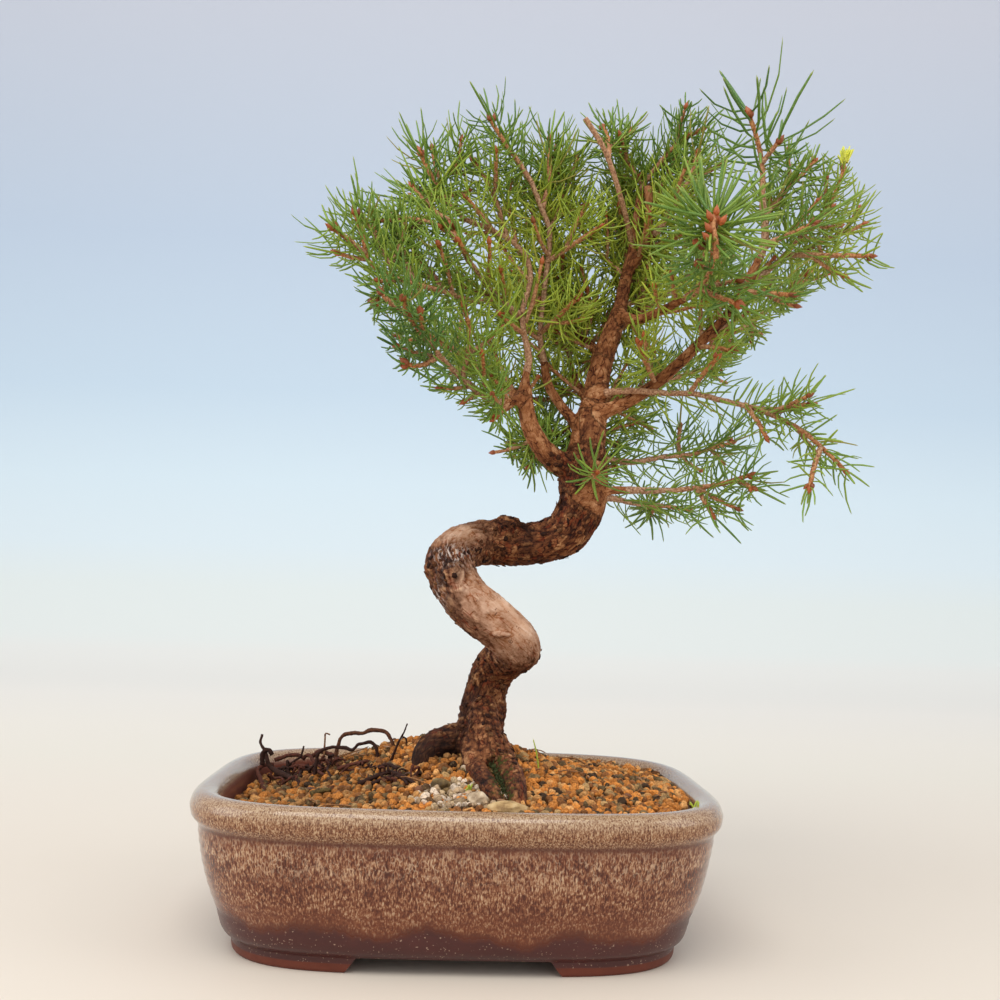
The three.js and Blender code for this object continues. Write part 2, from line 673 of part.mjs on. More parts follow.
// Healed places where a bough was cut away: a knob on the level length of the trunk, an oval scar on
// the rising one and an eye-shaped knot on the bulge.
const SCARS = [
  { centre: [17, 6, 153.5], radii: [5, 4.5, 4] },
  { centre: [-3, -17, 133], radii: [4.5, 3, 5] },
  { centre: [14, -26, 110], radii: [5.5, 3.5, 4.5] },
];

function scarSolid({ centre, radii }) {
  const ball = new THREE.IcosahedronGeometry(1, 1);
  ball.scale(...radii);
  ball.translate(...centre);
  return solidOf(ball);
}

function trunkSolid(gap) {
  const stations = (limb) => (gap > 0 ? swollen(limb, gap) : limb);
  const trunk = limbSolid(stations(smoothStations(TRUNK, TRUNK_STEPS)), TRUNK_SIDES);
  return joined([trunk, ...ROOTS.map((root) => limbSolid(stations(root), WOOD_SIDES))]);
}

function treeSolid(gap) {
  const stations = (limb) => (gap > 0 ? swollen(limb, gap) : limb);
  const boughs = Object.values(BOUGHS).map((bough) => limbSolid(stations(bough), WOOD_SIDES));
  return joined([trunkSolid(gap), ...boughs, ...SCARS.map(scarSolid)]);
}

// Distance between two straight lengths p1-q1 and p2-q2.
function lengthsApart(p1, q1, p2, q2) {
  const d1 = q1.clone().sub(p1);
  const d2 = q2.clone().sub(p2);
  const r = p1.clone().sub(p2);
  const a = d1.dot(d1);
  const e = d2.dot(d2);
  const f = d2.dot(r);
  const c = d1.dot(r);
  const b = d1.dot(d2);
  const clamp = (value) => Math.min(Math.max(value, 0), 1);
  const denominator = a * e - b * b;
  let s = denominator > 1e-9 ? clamp((b * f - c * e) / denominator) : 0;
  let t = (b * s + f) / e;
  if (t < 0) {
    t = 0;
    s = clamp(-c / a);
  } else if (t > 1) {
    t = 1;
    s = clamp((b - c) / a);
  }
  return p1.clone().addScaledVector(d1, s).distanceTo(p2.clone().addScaledVector(d2, t));
}

// Every straight length that a needle has to clear: { from, to, radius, owner }.
function woodLengths() {
  const lengths = [];
  const limbs = [smoothStations(TRUNK, TRUNK_STEPS), ...ROOTS, ...Object.values(BOUGHS)];
  for (const limb of limbs) {
    for (let i = 1; i < limb.length; i++) {
      lengths.push({
        from: new THREE.Vector3(...limb[i - 1]),
        to: new THREE.Vector3(...limb[i]),
        radius: Math.max(limb[i - 1][3], limb[i][3]),
        owner: 'wood',
      });
    }
  }
  return lengths;
}

function shootCurve(points) {
  return new THREE.CatmullRomCurve3(points.map((p) => new THREE.Vector3(...p)));
}

// The rings of a twig from foot to bud. Each ring has four corners and stands turned against the one
// before it, so that the faces between them wind round the twig.
function twigRings(points) {
  const curve = shootCurve(points);
  const length = curve.getLength();
  const steps = Math.max(2, Math.round((length - BUD_LENGTH) / TWIG_STEP));
  const places = [];
  for (let i = 0; i <= steps; i++) places.push((length - BUD_LENGTH) * i / steps);
  places.push(length - BUD_LENGTH / 2);
  const across = new THREE.Vector3(0.31, 0.87, -0.4);
  return places.map((at, i) => {
    const t = at / length;
    const centre = curve.getPointAt(t);
    const along = curve.getTangentAt(t);
    across.addScaledVector(along, -across.dot(along)).normalize();
    const up = along.clone().cross(across);
    const isBud = i === places.length - 1;
    const radius = isBud ? BUD_RADIUS : THREE.MathUtils.lerp(TWIG_RADIUS, TWIG_TIP_RADIUS, t);
    const corners = [0, 1, 2, 3].map((k) => {
      const angle = i * TWIG_TWIST + k * Math.PI / 2;
      return centre.clone()
        .addScaledVector(across, Math.cos(angle) * radius)
        .addScaledVector(up, Math.sin(angle) * radius);
    });
    return { at, t, centre, along, radius, corners };
  });
}

function shootLengths(name, points) {
  const rings = twigRings(points);
  const tip = new THREE.Vector3(...points[points.length - 1]);
  const ends = [...rings.map((ring) => ring.centre), tip];
  return rings.map((ring, i) => ({ from: ends[i], to: ends[i + 1], radius: ring.radius, owner: name }));
}

// Where the needle that grows from a face of the twig ends, or null if it has no room. It leans wide
// at the foot of the shoot and closes towards the bud. One that would touch another shoot, limb or
// needle is turned aside a little at a time.
function needleTip(name, face, ring, random, taken) {
  const root = face[0].clone().add(face[1]).add(face[2]).divideScalar(3);
  const normal = face[1].clone().sub(face[0]).cross(face[2].clone().sub(face[0])).normalize();
  const out = normal.clone().addScaledVector(ring.along, -normal.dot(ring.along)).normalize();
  const aside = ring.along.clone().cross(out);
  const reach = NEEDLE_LENGTH * (0.88 + 0.22 * random()) * (1 - 0.12 * ring.t);
  for (let attempt = 0; attempt < NEEDLE_TRIES; attempt++) {
    const sway = (random() - 0.5) * 0.12 * (attempt + 2);
    const openness = THREE.MathUtils.lerp(NEEDLE_LEAN_AT_FOOT, NEEDLE_LEAN_AT_BUD, ring.t ** 2);
    const lean = THREE.MathUtils.degToRad(openness) + (random() - 0.5) * 0.06 * attempt;
    const heading = ring.along.clone().multiplyScalar(Math.cos(lean))
      .addScaledVector(out, Math.sin(lean) * Math.cos(sway))
      .addScaledVector(aside, Math.sin(lean) * Math.sin(sway));
    const tip = root.clone().addScaledVector(heading, reach);
    const free = root.clone().addScaledVector(heading, 3);
    const clear = taken.every((other) => {
      if (other.owner !== name) {
        return lengthsApart(root, tip, other.from, other.to) > NEEDLE_RADIUS + other.radius + NEEDLE_CLEAR;
      }
      const needed = other.needle ? 2 * NEEDLE_RADIUS : NEEDLE_RADIUS + other.radius;
      return lengthsApart(free, tip, other.needle ? other.free : other.from, other.to) > needed;
    });
    if (clear) {
      taken.push({ from: root, free, to: tip, radius: NEEDLE_RADIUS, owner: name, needle: true });
      return tip;
    }
  }
  return null;
}

// A needled shoot as one closed mesh: a slim twisted twig with a bud at its end, on which every
// needle is a face drawn out to a point. Opposite faces bear needles, the other pair at the next step.
function shootSolid(name, points, bareLength, random, taken) {
  const rings = twigRings(points);
  const corners = [];
  const triangles = [];
  rings.forEach((ring) => ring.corners.forEach((corner) => corners.push(corner)));
  const tipIndex = corners.push(new THREE.Vector3(...points[points.length - 1])) - 1;
  triangles.push(0, 2, 1, 0, 3, 2);
  for (let i = 0; i + 1 < rings.length; i++) {
    for (let k = 0; k < 4; k++) {
      const a = 4 * i + k;
      const b = 4 * i + (k + 1) % 4;
      const c = b + 4;
      const d = a + 4;
      triangles.push(a, c, d);
      const bears = rings[i].at > bareLength && k % 2 === i % 2;
      const face = [corners[a], corners[b], corners[c]];
      const tip = bears ? needleTip(name, face, rings[i], random, taken) : null;
      if (tip) {
        const t = corners.push(tip) - 1;
        triangles.push(a, b, t, b, c, t, c, a, t);
      } else {
        triangles.push(a, b, c);
      }
    }
  }
  const last = 4 * (rings.length - 1);
  for (let k = 0; k < 4; k++) triangles.push(last + k, last + (k + 1) % 4, tipIndex);
  const geometry = new THREE.BufferGeometry();
  geometry.setFromPoints(corners);
  geometry.setIndex(triangles);
  return solidOf(geometry);
}

function limbRadiusAt(point, lengths) {
  const nudged = point.clone().addScalar(1e-3);
  const gaps = lengths.map((length) => lengthsApart(point, nudged, length.from, length.to));
  return lengths[gaps.indexOf(Math.min(...gaps))].radius;
}

function spraySolids(seat) {
  const random = randomFrom(SEED + 2);
  const wood = woodLengths();
  const taken = [...wood];
  for (const [name, shoots] of Object.entries(SPRAYS)) {
    shoots.forEach((points) => taken.push(...shootLengths(name, points)));
  }
  const sprays = {};
  for (const [name, shoots] of Object.entries(SPRAYS)) {
    const pieces = shoots.map((points, i) => {
      const carrier = i === 0 ? limbRadiusAt(new THREE.Vector3(...points[0]), wood) : TWIG_RADIUS;
      return shootSolid(name, points, carrier + BARE_FOOT, random, taken);
    });
    sprays[name] = mainBody(joined(pieces).subtract(seat));
  }
  return sprays;
}

// Assembly

const LOOKS = {
  glaze: { color: 0xa58468, roughness: 0.3, metalness: 0 },
  net: { color: 0x2b2f2c, roughness: 0.6, metalness: 0 },
  soil: { color: 0x8a6a48, roughness: 0.95, metalness: 0 },
  pumice: { color: 0xcfc8ba, roughness: 0.95, metalness: 0 },
  stone: { color: 0x9a947c, roughness: 0.85, metalness: 0 },
  root: { color: 0x9a7350, roughness: 0.9, metalness: 0 },
  bark: { color: 0x8c6249, roughness: 0.95, metalness: 0 },
  needles: { color: 0x5f8f3c, roughness: 0.55, metalness: 0 },
};

const bonsai = new THREE.Group();

function addPiece(name, solid, look) {
  const mesh = new THREE.Mesh(geometryOf(solid), new THREE.MeshStandardMaterial(LOOKS[look]));
  mesh.name = name;
  bonsai.add(mesh);
}

const woodSeat = treeSolid(SEAT_GAP);

addPiece('pot', potSolid(), 'glaze');
addPiece('drain_screen_left', screenSolid(-DRAIN_X), 'net');
addPiece('drain_screen_right', screenSolid(DRAIN_X), 'net');

const rootSeats = Object.values(DEAD_ROOTS).map((stations) => swollen(stations, SEAT_GAP));
const soilCutters = [
  trunkSolid(SEAT_GAP),
  screenBlock(-DRAIN_X, SEAT_GAP),
  screenBlock(DRAIN_X, SEAT_GAP),
  ...Object.values(STONES).map((stone) => stoneSolid(stone, SEAT_GAP)),
  ...rootSeats.map((stations) => limbSolid(stations, DEAD_ROOT_SIDES)),
];
addPiece('soil', soilSolid(soilCutters), 'soil');
addPiece('pumice_patch', mainBody(pumiceSolid().subtract(joined(soilCutters))), 'pumice');
for (const [name, stone] of Object.entries(STONES)) addPiece(name, stoneSolid(stone, 0), 'stone');
for (const [name, stations] of Object.entries(DEAD_ROOTS)) {
  addPiece(name, limbSolid(stations, DEAD_ROOT_SIDES), 'root');
}
addPiece('trunk', treeSolid(0), 'bark');
for (const [name, solid] of Object.entries(spraySolids(woodSeat))) {
  addPiece(`spray_${name}`, solid, 'needles');
}

// The middle of the footprint comes to the origin.
const box = new THREE.Box3().setFromObject(bonsai);
bonsai.position.set(-(box.min.x + box.max.x) / 2, -(box.min.y + box.max.y) / 2, -box.min.z);

export default bonsai;
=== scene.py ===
"""White spruce bonsai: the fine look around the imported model.

Every shape is made in the CAD part's own millimetres (+X right, -Y towards the viewer, +Z up, the pot's
centre in the middle, its feet standing at the height GROUND) and is placed in the row frame, in metres,
when its mesh is made. Distances and sizes below are in millimetres unless their comment says otherwise.
"""

import math

import bmesh
import bpy
import numpy as np
from mathutils import Matrix, Vector, kdtree


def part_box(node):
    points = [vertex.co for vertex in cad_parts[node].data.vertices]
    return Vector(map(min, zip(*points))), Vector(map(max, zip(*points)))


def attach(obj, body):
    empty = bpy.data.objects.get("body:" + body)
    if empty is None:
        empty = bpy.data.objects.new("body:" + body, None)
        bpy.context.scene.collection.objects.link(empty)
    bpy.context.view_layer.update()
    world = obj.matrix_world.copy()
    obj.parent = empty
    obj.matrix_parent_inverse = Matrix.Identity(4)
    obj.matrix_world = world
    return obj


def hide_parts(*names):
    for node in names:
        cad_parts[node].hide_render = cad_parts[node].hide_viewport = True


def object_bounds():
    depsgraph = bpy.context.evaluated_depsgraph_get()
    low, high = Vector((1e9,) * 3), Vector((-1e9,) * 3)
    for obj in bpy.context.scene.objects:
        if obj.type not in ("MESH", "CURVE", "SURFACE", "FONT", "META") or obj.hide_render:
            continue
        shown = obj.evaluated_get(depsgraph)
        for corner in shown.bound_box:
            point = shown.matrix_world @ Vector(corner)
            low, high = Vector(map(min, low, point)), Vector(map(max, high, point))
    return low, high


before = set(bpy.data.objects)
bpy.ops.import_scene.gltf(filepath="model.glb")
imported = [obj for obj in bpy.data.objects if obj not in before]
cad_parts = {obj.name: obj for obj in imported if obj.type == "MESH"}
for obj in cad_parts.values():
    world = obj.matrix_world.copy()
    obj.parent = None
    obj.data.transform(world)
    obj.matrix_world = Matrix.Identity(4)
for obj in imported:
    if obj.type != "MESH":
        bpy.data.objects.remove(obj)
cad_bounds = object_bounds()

MM = 0.001
GROUND = 4.4
scene = bpy.context.scene
pot_low, pot_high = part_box("pot")
POT = np.array([(pot_low.x + pot_high.x) / 2, (pot_low.y + pot_high.y) / 2, -GROUND * MM])

# The angle between leaves that follow each other on a shoot, and the end of a range of random turns.
GOLDEN_ANGLE = 2.39996
ANY_TURN = 6.28
UP = np.array((0, 0, 1))

# Camera
EYE = np.array((-2.5, -419.6, 126.2))
PITCH = math.radians(4.9)
YAW = math.radians(1.99)
ROLL = 0.0316
LENS = 39.6
SENSOR_WIDTH = 36

# Surroundings, in metres: the floor curves up into a wall. Its colours, with painted light, stand at shares
# of SWEEP_HEIGHT.
SWEEP_HALF_WIDTH = 6.0
SWEEP_FRONT = -6.0
SWEEP_BEND_START = 1.0
SWEEP_BEND_RADIUS = 1.2
SWEEP_TOP = 5.0
SWEEP_HEIGHT = 2.0
ROOM_COLOUR = (0.95, 0.97, 1, 1)
ROOM_STRENGTH = 0.9
# Painted light low on the wall, just above the bend, where the lamps' light falls off.
WALL_COLOURS_AND_PAINTED_LIGHT = (
    (0.012, (242, 240, 232)), (0.022, (239, 241, 234)), (0.06, (236, 241, 236)), (0.1, (230, 241, 244)),
    (0.17, (224, 239, 246)), (0.28, (209, 227, 241)), (0.48, (203, 218, 236)), (0.8, (217, 221, 233)),
)
# Painted light and shade on the floor: darker round and in front of the pot, lighter towards the wall.
FLOOR_COLOURS_AND_PAINTED_LIGHT = (
    (0.04, (219, 207, 192)), (0.135, (223, 213, 199)), (0.195, (226, 218, 204)), (0.28, (233, 225, 212)),
    (0.41, (240, 233, 222)), (0.6, (242, 238, 229)),
)
# Each light's name, place, aim, size, power in watts and colour.
LIGHTS = (
    ("key", (-0.2, -0.7, 1.2), (0, 0, 0.15), (1.0, 0.7), 9, (1, 0.99, 0.96)),
    ("fill_left", (-1.1, -0.3, 0.6), (0, 0, 0.15), (0.7, 0.9), 4, (0.97, 0.99, 1)),
    ("fill_right", (1.1, -0.4, 0.7), (0, 0, 0.12), (0.7, 0.9), 3, (1, 0.99, 0.98)),
)

# Pot, as in the CAD part
RIM_LENGTH = 185
RIM_WIDTH = 144
RIM_TOP = 58
SQUARENESS = 4
WALL_INSET = 10
FLOOR_TOP = 15
FOOT_TOP = 9.6
FOOT_INSET = 15
FOOT_RING = 10
FOOT_GAP_TOP = 62
FOOT_GAP_BOTTOM = 70
FLOOR_CORNER_INSET = 22
DRAIN_RADIUS = 6.5
DRAIN_X = 36
OUTLINE_POINTS = 208
POT_INNER = RIM_LENGTH / 2 - WALL_INSET
# The foot's outer edge, from the foot's outline and the ground, and the wall from the foot up, over the
# rim and down inside: how far in from the rim's edge, and the height.
FOOT_EDGE = ((-0.7, 0), (-0.1, 0.7), (0.1, 2.4), (0.2, 4.7))
WALL_CURVE = (
    (13.9, 10.1), (12.2, 11.3), (11.0, 13.6), (10.3, 15.8), (9.6, 18.6), (8.2, 22.2), (6.5, 27.2), (5, 33),
    (3.8, 39), (3, 44), (2.8, 46.4), (2.3, 47.8), (1.2, 49), (0.3, 50.9), (0, 53), (0.3, 54.9), (1.3, 56.6),
    (2.9, 57.7), (4.9, RIM_TOP), (6.8, 57.6), (8.3, 56.6), (9.3, 54.8), (9.9, 52), (10, 48), (11.2, 31),
    (15, 18.5), (20, 15.4),
)

# Soil, as in the CAD part
SOIL_EDGE_Z = 51.5
SOIL_TILT = 4
MOUND_HEIGHT = 12.5
MOUND_CENTRE = (4, 4)
MOUND_REACH = (42, 38)
BACK_MOUND_HEIGHT = 8
BACK_MOUND_CENTRE = (-24, 32)
BACK_MOUND_REACH = (40, 23)
PATCH_CENTRE = (2, -42)
PATCH_RADII = (17, 12.5)

# Granules: two layers on a triangular lattice. Those in the front half are rounder.
GRANULE_PITCH = 2.5
GRANULE_LAYERS = ((0, 0.0), (1, -1.7))
GRANULE_RADII = (1.15, 2.0)
GRANULE_COLOURS = (
    (40, (206, 130, 58)), (16, (218, 158, 94)), (18, (142, 90, 48)),
    (12, (112, 90, 58)), (6, (66, 48, 32)), (8, (172, 136, 88)),
)
FRONT_HALF_Y = 12
DUSTY_COLOURS = ((1, (196, 168, 130)),)
# Painted shade on the granules in the hollows by the roots: a weight, a centre and the reach.
SHADY_HOLLOWS = ((1, (-8, -7, 63), (9, 6, 9)), (0.6, (-30, -10, 59), (12, 5, 9)))
# The bed below the granules, and its side: how far in from the wall, and the height.
BED_DROP = 1.9
BED_SIDE = ((0.6, 44), (1.6, 31), (5.4, 19), (10.5, 16.7))
# How many shapes the grains have, and how many flat places each grain and each stone has.
GRAIN_SHAPES = 24
GRAIN_FACETS = 9
STONE_FACETS = 16
GRIT_COUNT = 230
# The dark brown grit is painted shade between the pale grains.
GRIT_COLOURS_AND_SHADE = ((48, (222, 200, 176)), (24, (180, 152, 120)), (28, (98, 72, 48)))
CHIP_COLOURS = ((124, 78, 50), (92, 56, 38), (168, 124, 84))
SCALE_COLOURS = ((86, 48, 28), (112, 68, 40), (52, 26, 15), (140, 94, 60))

# Bark. A limb is thick where its radius is at least THIN, and only thick limbs get bark relief.
THIN = 1.45
BARK_VOXEL = 0.72
# The bark's pattern starts this much further on from limb to limb.
LIMB_GAP = 37
SCALE_COUNT = 620
PLATE_PITCH = (2.9, 2.9, 5.0)
FINE_PLATE_PITCH = (1.5, 1.5, 2.2)
# Smooth pale bark, dark places and whitish flakes: a weight, a centre and the reach.
# The pale places are partly a painted highlight on the upper sides of the trunk's bends.
PALE_AND_HIGHLIGHT_PLACES = (
    (0.9, (20, -24, 111), (12, 12, 10)), (0.95, (9, -21, 123), (10, 11, 8)),
    (0.95, (-4, -6, 149), (9, 12, 5)), (0.5, (2, -22, 131), (6, 9, 6)),
)
# The dark places are partly painted shade under the left root and where the roots meet the trunk.
SHADE_AND_DARK_PLACES = (
    (1.4, (-9, -6, 66.5), (9, 11, 7)), (1.2, (-14, -9, 62), (8, 10, 9)), (0.8, (0, -2, 86), (4, 12, 8)),
    (0.5, (-1, -4, 74), (4, 8, 5)), (0.6, (23, -2, 148), (2.5, 9, 9)),
)
FLAKY_PLACES = ((1, (-5, -17, 140), (7, 9, 4)), (1, (-9, -16, 124), (3, 6, 6)))
# How much fuller some limbs are than their stations say.
GIRTH = {"left_root": 1.3, "root": 1.12}
# Boughs that are slimmer towards the top: from which height to which, and by what share.
SLIM_TOPS = {"left": (201, 210, 0.48), "middle": (214, 226, 0.35), "cutTwig": (214, 226, 0.35)}
SLIM_BOUGHS = ("rightLow", "rightLowBack", "rightBottom", "rightBottomBack")

# Shoots and needles. NEEDLE_RINGS are shares of a needle's length and of its half-width there.
NEEDLE_LENGTH = 16
NEEDLE_HALF_WIDTH = 0.4
NEEDLE_SPACING = 0.6
FRINGE_SPACING = 0.95
PATH_STEP = 0.8
NEEDLE_RINGS = ((0.0, 0.7), (0.28, 1.0), (0.68, 1.0), (0.95, 0.68))
LEAN_AT_FOOT = 88
LEAN_AT_BUD = 62
TWIG_RADIUS = 1.0
TWIG_TIP_RADIUS = 0.75
BARE_FOOT = 2.0
BUD_RADIUS = 0.95
BUD_LENGTH = 2.8
BIG_BUD_LENGTH = 3.6
# Shoots longer than LONG_SHOOT bear side shoots, and so do boughs with a radius below LEAFY_RADIUS.
LONG_SHOOT = 24
LEAFY_RADIUS = 2.4
FRONT_BUD_LENGTH = 4.2
FRONT_BUD_RADIUS = 1.05
WHORL_NEEDLES = 70
CANDLE_NEEDLES = 90

# Limbs: each station is a centre and a radius, as in the CAD part.
TRUNK = [
    [7, 2, 44, 5], [7, 2, 56, 8.5], [7, 2, 67, 10], [8, 5, 78, 8.8], [9, 7, 88, 8.4], [12, 7, 97, 8.4],
    [17, 0, 103, 8.6], [20, -12, 107, 8.8], [15, -20, 113, 8.8], [5, -20, 120, 9], [-2, -16, 127, 9],
    [-6, -10, 136, 9.1], [-3, -2, 143, 9], [6, 6, 146, 8.9], [17, 8, 146, 8.6], [28, 6, 147, 8.5],
    [38, 4, 151, 8.9], [43, 2, 160, 9.3], [44, 0, 171, 9.6], [45, 0, 184, 7.3], [47, 2, 198, 5.4],
    [49, 4, 210, 4.7], [51, 5, 220, 4.5], [55, 6, 232, 4], [58, 8, 243, 3], [60, 8, 254, 2.5],
    [62, 6, 266, 1.9], [63, 4, 277, 1.5], [64, 4, 288, 1.2],
]

ROOTS = [
    [
        [6, 2, 72, 6], [-2, 0, 70.5, 5.4], [-8, -3, 70, 4.8], [-12.5, -6, 67, 3.8],
        [-14, -8, 62, 3.1], [-14.5, -10, 54, 2.2],
    ],
    [
        [8, 1, 74, 6], [13, -7, 69.5, 5], [16.5, -20, 65, 4.2], [19, -33, 61.5, 3.8],
        [19.5, -43, 59, 3.3], [19.5, -50, 54, 2.2],
    ],
    [
        [5, -2, 72, 5], [4.5, -12, 67.5, 3.8], [6.5, -25, 64, 3.1], [10, -38, 61, 2.9],
        [12, -47, 58, 2.4], [12.5, -51, 54, 1.6],
    ],
    [[9, 4, 70, 5.5], [16, 10, 63, 3.6], [25, 16, 57, 2.6], [33, 21, 50, 1.8]],
    [[6, 6, 72, 6], [1, 19, 65, 3.6], [-5, 31, 59, 2.6], [-9, 39, 51, 1.8]],
]

BOUGHS = {
    "left": [
        [44, 0, 170, 5.6], [38, -2, 175, 5], [32, -5, 178, 4.5], [27, -8, 182, 3.8], [22, -10, 190, 3.4],
        [20, -10, 200, 3], [20, -9, 208, 2.9], [21, -8, 216, 2.7], [19, -9, 225, 2], [18, -8, 233, 1.7],
        [21, -4, 249, 1.4], [19, -3, 257, 1.3], [13, -3, 263, 1.2], [6, -5, 266, 1.1], [-5, -8, 269, 1],
    ],
    "leftFront": [[18, -8, 232, 1.6], [13, -12, 234, 1.3], [7, -16, 238, 1.2], [1, -20, 244, 1]],
    "leftLow": [
        [20, -10, 200, 2.2], [14, -14, 198, 1.6], [8, -19, 197, 1.4], [1, -25, 200, 1.3],
        [-5, -29, 204, 1.2],
    ],
    "leftBack": [[20, -10, 199, 2.4], [13, 8, 208, 1.8], [3, 24, 219, 1.4]],
    "middle": [
        [45, 0, 184, 3.4], [40, 4, 194, 2.3], [35, 7, 201, 2], [30, 8, 209, 1.9], [28, 8, 218, 1.8],
        [26, 6, 228, 1.7], [27, 3, 246, 1.5], [28, -2, 268, 1.3], [25, -4, 275, 1.2], [20, -8, 285, 1.1],
    ],
    "middleBack": [[47, 2, 200, 2.4], [42, 15, 211, 1.8], [40, 26, 222, 1.5]],
    "right": [
        [47, 2, 195, 3.2], [52, -1, 198, 2.8], [61, -4, 202, 2.5], [72, -8, 210, 2.4], [88, -16, 226, 2.1],
        [95, -20, 234, 1.9], [99, -25, 243, 1.7], [103, -28, 251, 1.5], [105, -30, 258, 1.4],
        [103, -34, 272, 1.2],
    ],
    "rightOuter": [[98, -25, 242, 1.7], [108, -24, 249, 1.3]],
    "rightBack": [[87, -15, 225, 2], [103, 0, 232, 1.5]],
    "rightLow": [
        [48, 2, 204, 3], [53, -3, 205, 2.2], [61, -8, 205, 2], [73, -16, 203, 1.8], [82, -22, 202, 1.6],
        [90, -28, 199, 1.4],
    ],
    "rightLowBack": [[45, 1, 179, 3], [54, 6, 180, 2.1], [64, 11, 180, 2], [79, 21, 184, 1.6]],
    "rightBottom": [[45, 0, 165, 4], [55, -4, 167, 2.8], [67, -8, 167, 2.1], [77, -12, 167, 1.5]],
    "rightBottomBack": [[44, 2, 163, 3.4], [56, 8, 165, 2.1], [65, 14, 164, 1.5]],
    "front": [[57, 7, 238, 2.6], [62, -6, 233, 2], [66, -18, 232, 1.8], [74, -38, 233, 1.5]],
    "topRight": [[60, 8, 255, 1.9], [66, 2, 264, 1.6], [72, -3, 272, 1.4], [79, -9, 284, 1.2]],
    "backLeft": [[51, 5, 220, 2.4], [45, 20, 231, 1.8], [36, 38, 244, 1.4]],
    "backRight": [[55, 6, 231, 2.4], [68, 20, 244, 1.8], [83, 37, 257, 1.4]],
    "backLow": [[48, 3, 202, 2.4], [60, 18, 207, 1.9], [77, 36, 216, 1.5]],
    "backTop": [[59, 8, 251, 2], [64, 22, 264, 1.3]],
    "cutTwig": [[62, 6, 265, 1.8], [57, -4, 276, 1.5], [48, -14, 295, 1.3], [39, -20, 306, 1.3]],
    "cutStub": [[66, 1, 264, 1.9], [67, -2, 277, 1.7], [66, -4, 287, 1.7]],
}

